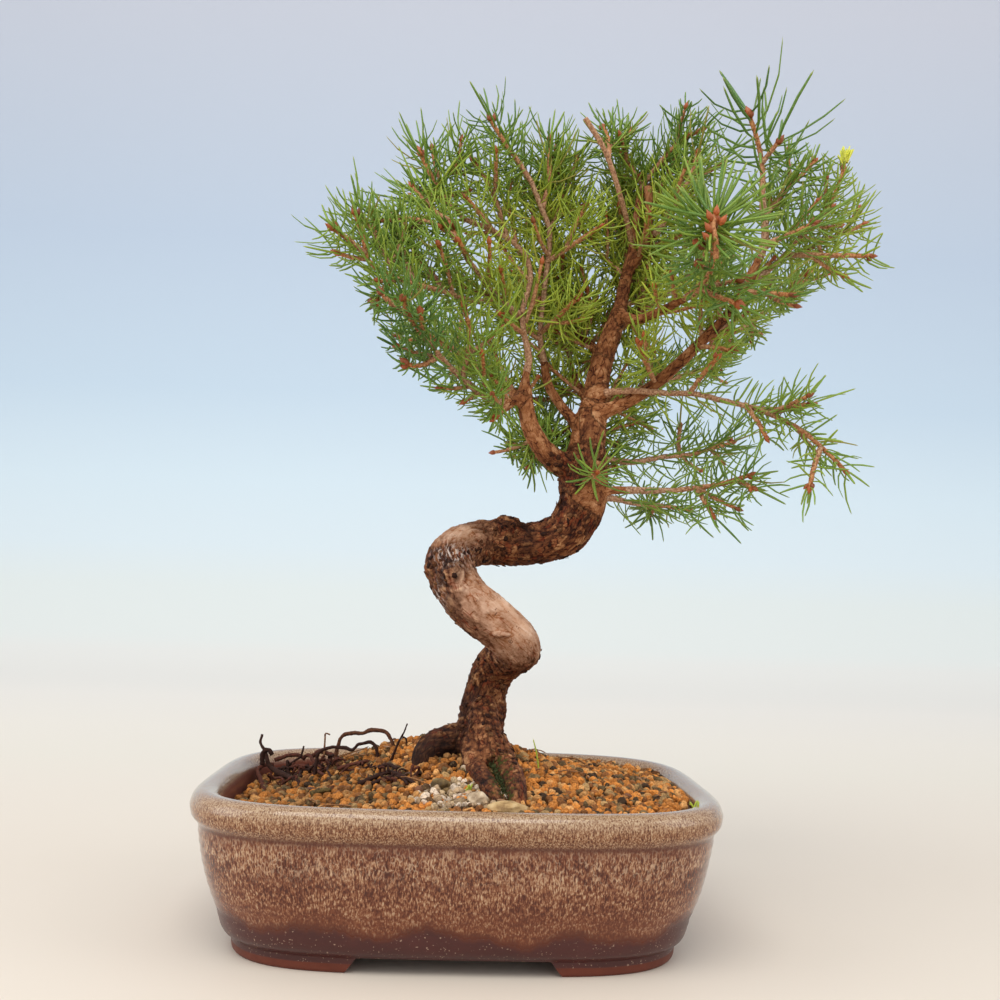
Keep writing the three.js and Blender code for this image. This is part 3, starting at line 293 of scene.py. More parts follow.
SPRAYS = {
    "crown_left": [
        [[-5, -8, 269], [-13, -10, 276], [-20, -12, 287], [-24, -13, 295]],
        [[-13, -10, 276], [-22, -4, 277], [-29, 0, 279]],
    ],
    "crown_left_low": [[[6, -5, 266], [0, -14, 270], [-6, -21, 274]]],
    "left_inner": [[[12, -3, 263], [7, -5, 277], [3, -6, 285], [-4, -8, 294]]],
    "left_front": [
        [[1, -20, 244], [-4, -22, 250], [-8, -23, 257], [-11, -24, 263]],
        [[-8, -23, 257], [-16, -28, 260]],
        [[-3, -22, 248], [-5, -31, 250], [-8, -38, 252]],
    ],
    "left_outer": [
        [[8, -15, 237], [0, -20, 234], [-11, -27, 235], [-29, -37, 237], [-38, -42, 241], [-40, -44, 248],
            [-44, -46, 259]],
        [[-39, -43, 243], [-45, -46, 247], [-52, -52, 250]],
        [[-22, -33, 236], [-26, -30, 246], [-29, -26, 257], [-31, -24, 266]],
        [[-11, -27, 235], [-17, -22, 244], [-22, -19, 250], [-26, -14, 258]],
        [[-29, -37, 237], [-34, -36, 231], [-37, -37, 225]],
    ],
    "left_low": [
        [[-5, -29, 204], [-10, -32, 208], [-19, -38, 217], [-23, -47, 221], [-25, -58, 225]],
        [[-23, -47, 221], [-29, -50, 224], [-34, -52, 229]],
        [[-12, -33, 210], [-18, -36, 206], [-23, -41, 205], [-28, -44, 208]],
    ],
    "left_low_up": [[[-4, -28, 203], [-2, -30, 213], [-2, -31, 221], [-5, -34, 230]]],
    "left_low_under": [[[2, -24, 199.5], [-4, -28, 194], [-9, -31, 191]]],
    "left_low_in": [[[14, -14, 198], [9, -21, 191], [4, -27, 186]]],
    "left_upper_front": [[[19, -9, 225], [13, -20, 226], [8, -29, 228]]],
    "left_shade": [[[26, -8, 184], [25, 3, 180], [23, 12, 176]]],
    "left_back": [
        [[3, 24, 219], [-8, 38, 229], [-18, 49, 237], [-24, 55, 243]],
        [[-18, 49, 237], [-27, 48, 234], [-35, 46, 236]],
        [[-2, 30, 223], [-12, 24, 227], [-20, 21, 231]],
    ],
    "middle_top": [[[20, -8, 285], [14, -10, 293], [8, -12, 300], [2, -14, 309]]],
    "middle_top_right": [[[25, -4, 276], [27, -4, 288], [27, -3, 298], [27, -2, 307]]],
    "middle_top_back": [[[28, -2, 268], [33, 5, 282], [37, 10, 295], [40, 13, 306]]],
    "middle_pale": [[[27, 1, 256], [38, -7, 262], [48, -13, 268]]],
    "middle_front": [[[26, 6, 229], [33, -6, 234], [40, -15, 240]]],
    "middle_back": [
        [[40, 26, 222], [41, 38, 238], [42, 46, 251], [40, 56, 270]],
        [[41, 51, 261], [34, 60, 264]],
        [[40, 33, 231], [31, 37, 235], [23, 42, 240]],
    ],
    "top_tuft": [[[49, -13, 293], [50, -6, 303], [48, 0, 313]]],
    "top": [[[64, 4, 288], [70, 2, 297], [79, -1, 307], [89, -4, 312]]],
    "top_back": [[[62, 6, 271], [58, 15, 283], [58, 20, 295], [60, 23, 307]]],
    "top_right": [
        [[79, -9, 284], [82, -11, 291], [84, -12, 300]],
        [[81, -10, 288], [90, -5, 294], [97, -1, 300]],
    ],
    "back_top": [
        [[64, 22, 264], [69, 34, 277], [73, 43, 288], [75, 49, 299]],
        [[69, 34, 277], [62, 42, 283], [57, 48, 290]],
    ],
    "back_left": [
        [[36, 38, 244], [27, 51, 254], [19, 60, 263], [13, 66, 271]],
        [[20, 59, 262], [10, 57, 262]],
        [[30, 47, 251], [22, 40, 257], [15, 36, 263]],
    ],
    "back_right": [
        [[83, 37, 257], [97, 51, 270], [108, 59, 280], [114, 64, 288]],
        [[107, 58, 279], [117, 56, 280]],
        [[90, 44, 264], [98, 36, 269], [104, 30, 274]],
    ],
    "back_low": [
        [[77, 36, 216], [93, 49, 224], [106, 58, 230], [116, 64, 236]],
        [[105, 57, 229], [115, 52, 226]],
        [[85, 43, 220], [81, 53, 225], [77, 61, 230]],
    ],
    "right_back": [
        [[103, 0, 232], [117, 12, 243], [129, 20, 252], [137, 25, 260], [142, 28, 268]],
        [[137, 25, 260], [147, 19, 263]],
        [[112, 8, 239], [113, 17, 235], [115, 25, 230]],
        [[121, 15, 246], [127, 8, 253], [132, 3, 259]],
    ],
    "leader": [
        [[103, -34, 272], [102, -36, 285], [99, -38, 295], [95, -40, 304]],
        [[102, -36, 285], [108, -42, 293]],
    ],
    "right_side": [[[105, -30, 257], [113, -37, 259], [121, -43, 262]]],
    "right_upper": [[[104, -32, 266], [112, -26, 277], [121, -22, 287], [128, -19, 295]]],
    "right_outer": [
        [
            [108, -24, 249], [115, -22, 256], [124, -20, 267], [131, -20, 275], [136, -20, 285],
            [138, -20, 293],
        ],
        [[115, -22, 256], [125, -29, 254], [134, -33, 253], [144, -37, 252]],
        [[121, -21, 263], [132, -14, 265], [142, -9, 271], [149, -7, 282]],
    ],
    "right_mid_under": [[[98, -24, 241], [108, -32, 238], [117, -38, 236]]],
    "right_inner": [[[84, -14, 222], [94, -22, 219], [103, -27, 216]]],
    "right_front": [[[70, -7, 208], [64, -18, 214], [59, -27, 221]]],
    "front": [
        [[74, -38, 233], [79, -54, 237], [78, -66, 242], [76, -78, 250]],
        [[78, -66, 242], [70, -72, 243]],
        [[77, -46, 235], [84, -52, 230], [91, -57, 226]],
    ],
    "low_outer": [
        [[90, -28, 199], [99, -33, 196], [108, -37, 192], [116, -40, 187], [125, -44, 178], [131, -46, 171]],
        [[122, -43, 181], [118, -47, 172], [116, -49, 164]],
        [[106, -36, 193], [113, -42, 195], [120, -45, 196]],
        [[98, -32, 197], [101, -38, 190], [104, -42, 182]],
    ],
    "low_mid": [[[80, -20, 202], [84, -29, 209], [88, -37, 214]]],
    "low_back": [
        [[79, 21, 184], [90, 28, 186], [102, 34, 190], [113, 39, 194]],
        [[101, 33, 189], [109, 42, 184]],
        [[86, 26, 185], [87, 33, 193], [89, 38, 201]],
    ],
    "bottom": [
        [[77, -12, 167], [85, -17, 168], [92, -21, 169], [104, -27, 173]],
        [[97, -23, 171], [103, -32, 166]],
        [[84, -16, 168], [87, -20, 162], [90, -22, 156]],
    ],
    "bottom_back": [
        [[65, 14, 164], [74, 20, 164], [84, 27, 164], [94, 33, 163]],
        [[76, 21, 164], [75, 31, 160]],
    ],
    "trunk_tuft": [[[45, -4, 172], [46, -16, 171], [47, -23, 172]]],
}

# Dead roots that stand out of the soil
DEAD_ROOTS = {
    "dead_root_upright": [
        [-78.7, 27, 68, 0.5], [-79, 27, 65, 0.55], [-77.1, 26.6, 61.6, 0.6], [-76.2, 26.3, 58.6, 0.75],
        [-74.5, 26, 55.4, 1.1], [-71.5, 23.5, 54.1, 1.2], [-66.2, 17.5, 53.1, 1.2],
        [-62.3, 12.5, 52.3, 1.15], [-60, 9.8, 50.8, 1.1], [-57.8, 7.3, 44.4, 1],
    ],
    "dead_root_arch": [
        [-49.2, 25, 51.2, 0.75], [-48.6, 25, 62.2, 0.8], [-47.9, 25, 65.6, 0.75],
        [-46.3, 24.5, 68.8, 0.8], [-42.8, 24, 69.6, 0.8], [-38.4, 23, 69.8, 0.8],
        [-35.4, 22.5, 71.3, 0.95], [-29.6, 21.5, 70.9, 0.8], [-27.8, 21, 68.8, 0.75],
        [-26.3, 20.5, 66.5, 0.7], [-25.5, 20.5, 53.5, 0.7],
    ],
    "dead_root_dark": [
        [-55.8, 16, 52.8, 0.7], [-55, 16, 61.8, 0.75], [-52.8, 15.5, 64.2, 0.65],
        [-48.5, 15, 65.3, 0.7], [-44, 14.5, 65.2, 0.75], [-41.6, 14, 64.4, 0.65],
        [-39, 13.5, 66.8, 0.65], [-34.5, 13, 67.6, 0.7], [-32.3, 12.5, 66.1, 0.6],
        [-31.3, 12.5, 57.1, 0.6],
    ],
}

# The flare between the two front roots, as a line and its half-widths.
ROOT_WEB = (np.array([(8, 1, 86), (8.5, -6, 78), (10.5, -13, 71), (12.5, -20, 66)], float),
            np.array([4.5, 6.2, 5.8, 3.8]))

# Healed places on the trunk: a knob where a bough was cut, an oval scar and an eye-shaped knot. Each has
# a centre, the direction it faces, its two half-sizes across that direction and the height of its rim.
SCARS = [
    {"centre": (15.5, 3.6, 152), "facing": (-0.15, -0.8, 0.58), "size": (3, 2.3), "bulge": 0.6,
     "lump": (6.4, 5.4, 4.8)},
    {"centre": (-4, -21, 133), "facing": (-0.15, -0.97, 0.1), "size": (4.4, 4.6), "bulge": 1.0,
     "lump": (4.4, 4, 4.6)},
    {"centre": (13, -28, 112), "facing": (0.05, -0.98, 0.15), "size": (3.6, 1.3), "bulge": 0.2,
     "lump": (3.6, 4, 1.3)},
]

# Thin dead roots: the tint's name, the radius at both ends, and the stations.
ROOT_TINTS = {
    "dark": (98, 52, 38), "tan": (150, 106, 70), "black": (58, 32, 24), "olive": (104, 86, 48),
    "dead_root_upright": (60, 34, 25), "dead_root_arch": (104, 64, 42), "dead_root_dark": (58, 32, 24),
}
FINE_ROOTS = (
    ("dark", 1.0, 0.8, [(-73.3, 9, 49), (-77.5, 21, 51.6), (-80, 30, 53.5), (-78, 33, 55), (-74.5, 34, 55)]),
    ("black", 1.0, 0.9, [(-78, 27, 56), (-77.6, 26.5, 61), (-75.6, 26, 62), (-74, 26, 60)]),
    ("dark", 0.9, 0.7, [(-74, 33, 57), (-71.5, 33, 58), (-68, 34, 59), (-65, 34, 59), (-62, 34, 57.5)]),
    ("black", 0.6, 0.35, [(-70, 32, 54), (-66, 32, 57), (-63.6, 32, 59), (-62.5, 32, 63)]),
    ("dark", 0.75, 0.55, [
        (-68, 30, 54), (-65, 29, 55.6), (-58.8, 26, 55.6), (-53.9, 15, 55.6), (-51.5, 10, 55.4),
    ]),
    ("dark", 0.75, 0.55, [(-63, 33, 58), (-60.5, 32, 59.5), (-58, 28, 58), (-53.3, 19.5, 56.4)]),
    ("dark", 0.95, 0.7, [
        (-59, 33, 59), (-56, 32, 61), (-53, 31, 60.5), (-48.5, 28, 59.5), (-47.3, 19, 57.5),
    ]),
    ("black", 0.55, 0.4, [(-55, 31, 58.5), (-50.9, 23, 58), (-50.9, 15.5, 56.8), (-48.3, 6, 55.5)]),
    ("olive", 1.2, 0.7, [(-53, -15, 52.5), (-50, -14, 53.6), (-46, -15, 54.4)]),
    ("dark", 0.8, 0.6, [(-46.5, 12, 57.5), (-41, 10.8, 59.6), (-36, 9.5, 60.8)]),
    ("black", 0.9, 0.6, [
        (-36, -17, 57), (-31, -15, 59), (-26, -14, 60.8), (-20, -22, 60.9), (-15.5, -30, 60),
    ]),
    ("black", 0.7, 0.5, [(-31, -19, 57.5), (-25, -18, 60), (-21, -21, 60.5), (-18, -29, 59.5)]),
    ("black", 0.8, 0.6, [(-30, -4, 61), (-26.5, -5, 62.3), (-22.5, -12, 62)]),
    ("tan", 0.4, 0.3, [(-54, 30, 59), (-54, 30, 66), (-53.8, 30, 68.5), (-52, 30, 68)]),
    ("black", 0.55, 0.25, [(-26, 3, 62), (-24.5, 1, 66), (-23, 0, 70), (-21, -1, 74), (-20, -2, 77)]),
    ("black", 0.4, 0.25, [(-21.7, -1, 72), (-20.3, -1, 71.3), (-20, -1, 69.6)]),
    ("tan", 0.35, 0.25, [(14, -9, 74), (17, -12, 70), (16.5, -13, 65), (18, -15, 60)]),
)
# Tangles of root fibres on the soil: x and y of the middle, how far they reach, and how many.
TANGLES = (
    (-70, 28, 7, 7), (-62, 26, 7, 7), (-53, 22, 6, 5), (-66, 14, 8, 4), (-27, -17, 7, 4), (-18, -24, 6, 3),
    (-38, 6, 7, 3),
)

# Litter on the soil: chips of bark at these places, and at random ones, clear of the trunk.
CHIP_PLACES = (
    (-36, -6), (-27, -20), (-19, -20), (-54.5, -5.5), (-46, -12), (-52, 57), (-40, 56), (-33, -10),
    (-30, -3),
)
CHIP_COUNT = 26
DEAD_NEEDLE_COUNT = 16
TRUNK_FOOT_X = 8
# Green blades: the foot, the height, and how many.
WEEDS = (((29.2, -14, 61.5), 11, 1), ((3.3, -39.5, 59.5), 2.2, 4), ((79.7, -45, 55.5), 3.5, 6))
MOSS_COUNT = 420
MOSS_LINE = ((11, -13, 68), (12, -22, 65.2), (14, -33, 62), (16, -45, 58.6))

# Stones. Two are in the CAD part, and each of the others has a centre and three radii.
STONE_COLOURS = {
    "stone_green": ((76, 58, 28), (116, 92, 50), (156, 132, 86)),
    "stone_flat": ((140, 108, 66), (184, 150, 100), (208, 180, 132)),
    "stone_grey": ((134, 110, 84), (184, 160, 130), (212, 192, 164)),
    "stone_white_small": ((134, 110, 84), (184, 160, 130), (212, 192, 164)),
    "stone_brown": ((84, 50, 28), (124, 76, 44), (160, 108, 66)),
}
STONE_SEEDS = {
    "stone_green": 51, "stone_flat": 53, "stone_grey": 55, "stone_white_small": 57, "stone_brown": 59,
}
LOOSE_STONES = {
    "stone_grey": ((6.6, -49, 58.3), (3.8, 3.2, 2.9)),
    "stone_white_small": ((1.9, -21, 63.9), (1.8, 1.6, 1.5)),
    "stone_brown": ((-12.4, -36.2, 58.8), (2.8, 2.2, 1.9)),
}

# Shoots, by the names of their sprays and boughs
# How blue-green a spray's needles are, from 0 for the yellow-green ones in the shade to 1.
TONES = {
    "front": 0.68, "leader": 0.78, "left_low": 0.78, "crown_left": 0.68, "middle_top": 0.7, "top": 0.74,
    "left_outer": 0.5, "left_front": 0.55, "left_inner": 0.5, "middle_top_right": 0.62, "top_tuft": 0.6,
    "low_outer": 0.5, "bottom": 0.62, "bottom_back": 0.66, "right_back": 0.5, "right_upper": 0.55,
    "trunk_tuft": 0.6, "right_outer": 0.35, "top_right": 0.6, "left_upper_front": 0.45,
}
BUD_RADII = {
    "front": 1.7, "leader": 1.35, "left_low": 1.35, "crown_left": 1.3, "left_outer": 1.15, "left_front": 1.2,
    "middle_top": 1.2,
}
BARE_BOUGHS = ("cutTwig", "cutStub")
LEAFY_BOUGHS = ("middleBack", "backLow", "leftBack", "backLeft", "leftLow", "leftFront")
# Boughs that stay in view, above a height, and the sprays that may stand in front of them.
OPEN_BOUGHS = ("trunk", "right", "left", "middle", "cutTwig")
OPEN_FLOOR = 150
OPEN_TOP = 262
FRONT_SPRAYS = ("front", "leader", "trunk_tuft")
# The shoot whose bud has opened: its spray and its number.
CANDLE = ("right_outer", 0)
# How long the needles are, how thick, and how far apart, where that differs from 1.
VIGOUR = {
    "leader": 1.5, "front": 1.3, "left_low": 1.05, "low_outer": 0.8, "low_mid": 0.8, "bottom": 0.9,
    "bottom_back": 0.85, "right_outer": 0.9, "left_outer": 0.92, "top_tuft": 0.72, "left_low_under": 0.8,
}
STOUT = {"front": 1.3, "leader": 1.35, "left_low": 1.15}
SPARSE = {
    "leader": 1.5, "front": 1.25, "low_outer": 1.25, "low_mid": 1.2, "right_outer": 1.3, "low_back": 1.2,
    "right_back": 1.2, "top_tuft": 1.2,
}
# The end of the front shoot, and its buds, from there.
FRONT_TIP = np.array(SPRAYS["front"][0][-1], float)
FRONT_BUDS = ((0, 0, 0.6), (-2.2, -0.6, -1.2), (1.9, -0.6, -2.4), (-2.6, -1, -5.2), (-3.1, -1, -8.2))
FRONT_TWIG = ((0.5, 2, -14), (0, 0.3, -9), (-1, 0.4, -4), (-0.3, 0.8, 0))
# Shoots that are bare further out than the others.
BARE_FEET = {("right_outer", 1): 16}
# The crown's outline as seen from the EYE, on the plane across at OUTLINE_Y: x and the height there.
OUTLINE_Y = -20
CROWN_TOP = np.array([
    (-68, 264), (-59, 278), (-45, 288), (-31, 306), (-14, 311), (-2, 322), (10, 320), (22, 311), (44, 317),
    (66, 310), (90, 312), (112, 300), (136, 294), (152, 283), (160, 262),
], float)
CROWN_UNDERSIDE = np.array([
    (-68, 254), (-50, 246), (-43, 239), (-35, 221), (-27, 212), (-17, 204), (-4, 196), (6, 191), (16, 176),
    (24, 150), (80, 150), (84, 203), (92, 214), (106, 225), (114, 237), (129, 248), (150, 246), (160, 252),
], float)
# Shoots that hang below the outline.
LOW_SPRAYS = ("low_", "bottom", "trunk_tuft", "bough_rightLow", "bough_rightBottom")
# Shoots inside the crown and on its far side, from one bough to the next.
INNER_SHOOTS = (
    ((45, 20, 231), (47, 14, 240), (44, 8, 250)),
    ((68, 20, 244), (66, 12, 252), (62, 14, 262)),
    ((40, 26, 222), (36, 18, 244), (34, 12, 262)),
    ((60, 8, 254), (68, 10, 272), (66, 6, 290)),
    ((60, 8, 254), (52, 12, 262), (44, 14, 272)),
    ((58, 8, 243), (66, 14, 246), (72, 10, 254)),
    ((64, 22, 264), (58, 18, 280), (62, 12, 296)),
    ((24, -8, 186), (20, 2, 184), (14, 12, 186)),
    ((30, -5, 182), (28, 8, 186), (22, 20, 192)),
    ((40, 4, 194), (34, 14, 190), (28, 22, 194)),
    ((42, 15, 211), (34, 22, 206), (26, 26, 206)),
    ((-29, -37, 237), (-34, -34, 248), (-38, -30, 258)),
    ((-16, -28, 260), (-24, -26, 262), (-32, -24, 262)),
    ((-11, -24, 263), (-16, -18, 268), (-20, -12, 274)),
    ((44, 14, 272), (36, 12, 284), (30, 8, 298)),
    ((66, 6, 290), (60, 4, 298), (52, 2, 307)),
    ((66, 6, 290), (76, 6, 296), (87, 4, 303)),
    ((34, 12, 262), (24, 10, 276), (14, 8, 290)),
    ((-20, -12, 274), (-14, -8, 284), (-6, -4, 296)),
    ((40, 4, 194), (50, 10, 190), (60, 14, 186)),
    ((30, -5, 182), (40, 6, 180), (52, 14, 178)),
)
# Boughs bear leafy shoots above CROWN_FLOOR, left of LEFT_SIDE, and LEAFY_BOUGHS all along.
CROWN_FLOOR = 218
LEFT_SIDE = 16
CROWN_CENTRE = np.array((40, -5, 245))
CROWN_RADII = np.array((92, 62, 68))


# Numbers

def rgb(red, green, blue):
    """Linear values of a colour given as sRGB from 0 to 255."""
    return tuple(((value / 255 + 0.055) / 1.055) ** 2.4 for value in (red, green, blue))


def unit(vectors):
    return vectors / np.maximum(np.linalg.norm(vectors, axis=-1, keepdims=True), 1e-9)


def ease(value, low, high):
    """0 below low, 1 above high, with a smooth rise between."""
    share = np.clip((value - low) / (high - low), 0, 1)
    return share * share * (3 - 2 * share)


def lumps(points, size, seed):
    """Smooth seeded noise from -1 to 1 at the points, with lumps about the given size apart."""
    side = 32
    table = np.random.default_rng(seed).uniform(-1, 1, (side, side, side))
    cell = np.asarray(points, float) / size
    low = np.floor(cell).astype(int)
    part = cell - low
    part = part * part * (3 - 2 * part)
    total = 0
    for corner in np.ndindex(2, 2, 2):
        weight = np.prod(np.where(np.array(corner) == 1, part, 1 - part), axis=-1)
        index = (low + corner) % side
        total = total + weight * table[index[..., 0], index[..., 1], index[..., 2]]
    return total


def drift(points, size, seed):
    """Smooth seeded shifts from -1 to 1 along each axis."""
    return np.stack([lumps(points + 9 * k, size, seed + k) for k in range(3)], axis=1)


def tree_of(points):
    """A search tree that finds the points near a place."""
    tree = kdtree.KDTree(len(points))
    for index, point in enumerate(points):
        tree.insert(point, index)
    tree.balance()
    return tree


def smooth_path(stations, step):
    """Points about a step apart on a smooth curve through the stations, which may carry a radius."""
    stations = np.asarray(stations, float)
    xyz = stations[:, :3]
    line = np.vstack([2 * xyz[0] - xyz[1], xyz, 2 * xyz[-1] - xyz[-2]])
    share = np.linspace(0, 1, 12, endpoint=False)[:, None]
    dense = []
    for k in range(len(xyz) - 1):
        p0, p1, p2, p3 = line[k:k + 4]
        t1 = np.linalg.norm(p1 - p0) ** 0.5
        t2 = t1 + np.linalg.norm(p2 - p1) ** 0.5
        t3 = t2 + np.linalg.norm(p3 - p2) ** 0.5
        t = t1 + share * (t2 - t1)
        a1 = (t1 - t) / t1 * p0 + t / t1 * p1
        a2 = (t2 - t) / (t2 - t1) * p1 + (t - t1) / (t2 - t1) * p2
        a3 = (t3 - t) / (t3 - t2) * p2 + (t - t2) / (t3 - t2) * p3
        b1 = (t2 - t) / t2 * a1 + t / t2 * a2
        b2 = (t3 - t) / (t3 - t1) * a2 + (t - t1) / (t3 - t1) * a3
        place = (t2 - t) / (t2 - t1) * b1 + (t - t1) / (t2 - t1) * b2
        rest = stations[k, 3:] + share * (stations[k + 1, 3:] - stations[k, 3:])
        dense.append(np.hstack([place, rest]))
    dense.append(stations[-1:])
    dense = np.vstack(dense)
    lengths = path_lengths(dense[:, :3])
    at = np.linspace(0, lengths[-1], max(3, round(lengths[-1] / step) + 1))
    return np.stack([np.interp(at, lengths, column) for column in dense.T], axis=1)


def path_lengths(path):
    return np.concatenate([[0], np.cumsum(np.linalg.norm(np.diff(path, axis=0), axis=1))])


def frames_along(path):
    """Unit vectors along the path and two across it at every point, carried on without a twist."""
    along = unit(np.gradient(path, axis=0))
    across = np.empty_like(along)
    side = np.array([0.31, 0.87, -0.4])
    for k, heading in enumerate(along):
        side = side - heading * side.dot(heading)
        side = side / np.linalg.norm(side)
        across[k] = side
    return along, across, np.cross(along, across)


def leaned(first, second, angles):
    """Directions that turn from the first towards the second by the angles."""
    return first * np.cos(angles)[:, None] + second * np.sin(angles)[:, None]


# Meshes

class Heap:
    """Points, faces and tints of many small forms, gathered for one mesh."""

    def __init__(self):
        self.points = []
        self.faces = []
        self.tints = []
        self.count = 0

    def add(self, points, faces, tint=(0, 0, 0)):
        points = np.asarray(points, float).reshape(-1, 3)
        self.points.append(points)
        self.faces.extend(np.asarray(face) + self.count for face in faces)
        self.tints.append(np.broadcast_to(np.asarray(tint, float), points.shape))
        self.count += len(points)

    def piece(self, name, look, smooth=True):
        return make_piece(name, np.vstack(self.points), self.faces, look, smooth, np.vstack(self.tints))


def make_piece(name, points, faces, look, smooth=True, tints=None):
    """An object from points in pot-centred millimetres and a list of arrays of faces."""
    mesh = bpy.data.meshes.new(name)
    placed = np.asarray(points) * MM + POT
    faces = [face for face in faces if len(face)]
    corners = np.concatenate([face.ravel() for face in faces]).astype(np.int32)
    sizes = np.concatenate([np.full(len(face), face.shape[1]) for face in faces])
    mesh.vertices.add(len(placed))
    mesh.vertices.foreach_set("co", placed.astype(np.float32).ravel())
    mesh.loops.add(len(corners))
    mesh.polygons.add(len(sizes))
    mesh.polygons.foreach_set("loop_start", np.concatenate([[0], np.cumsum(sizes)[:-1]]).astype(np.int32))
    mesh.polygons.foreach_set("vertices", corners)
    mesh.polygons.foreach_set("use_smooth", np.full(len(sizes), smooth))
    mesh.update(calc_edges=True)
    if tints is not None:
        add_tints(mesh, tints)
    mesh.materials.append(look)
    obj = bpy.data.objects.new(name, mesh)
    scene.collection.objects.link(obj)
    return obj


def add_tints(mesh, tints, name="tint"):
    layer = mesh.color_attributes.new(name, "FLOAT_COLOR", "POINT")
    with_alpha = np.hstack([tints, np.ones((len(tints), 1))])
    layer.data.foreach_set("color", with_alpha.astype(np.float32).ravel())


def finish_piece(obj, slot, *nodes):
    """The piece rides on the body and stands for the CAD nodes named; the slot is not used."""
    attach(obj, "root")
    if nodes:
        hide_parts(*nodes)


def ring_faces(ring_count, sides):
    """Quads between rings of points that follow each other."""
    ring = np.arange(ring_count - 1)[:, None] * sides
    k = np.arange(sides)[None, :]
    after = (k + 1) % sides
    return np.stack([ring + k, ring + after, ring + after + sides, ring + k + sides], axis=-1).reshape(-1, 4)


def closed_rings(ring_count, sides):
    """Faces between the rings, and to the two points after them that close the first ring and the last."""
    k = np.arange(sides)
    after = (k + 1) % sides
    last = (ring_count - 1) * sides
    start_cap = np.stack([after, k, np.full(sides, ring_count * sides)], axis=-1)
    end_cap = np.stack([last + k, last + after, np.full(sides, ring_count * sides + 1)], axis=-1)
    return [ring_faces(ring_count, sides), start_cap, end_cap]


def round_angles(sides):
    return np.arange(sides) * 2 * math.pi / sides


def tube(path, radii, sides):
    """A closed tube round a path. radii has one row a point, with one or more values round it."""
    _, across, up = frames_along(path)
    angle = round_angles(sides)
    radii = np.asarray(radii, float).reshape(len(path), -1)
    spread = np.cos(angle)[None, :, None] * across[:, None] + np.sin(angle)[None, :, None] * up[:, None]
    rings = path[:, None] + radii[..., None] * spread
    points = np.vstack([rings.reshape(-1, 3), path[:1], path[-1:]])
    return points, closed_rings(len(path), sides)


def ball(level):
    """Points and faces of a round ball of radius 1."""
    body = bmesh.new()
    bmesh.ops.create_icosphere(body, subdivisions=level, radius=1)
    points = np.array([vertex.co[:] for vertex in body.verts])
    faces = np.array([[vertex.index for vertex in face.verts] for face in body.faces])
    body.free()
    return points, faces


def turned(random, count):
    """Random rotation matrices."""
    q = unit(random.normal(size=(count, 4)))
    w, x, y, z = q.T
    return np.stack([
        1 - 2 * (y * y + z * z), 2 * (x * y - z * w), 2 * (x * z + y * w),
        2 * (x * y + z * w), 1 - 2 * (x * x + z * z), 2 * (y * z - x * w),
        2 * (x * z - y * w), 2 * (y * z + x * w), 1 - 2 * (x * x + y * y),
    ], axis=-1).reshape(count, 3, 3)


# Materials

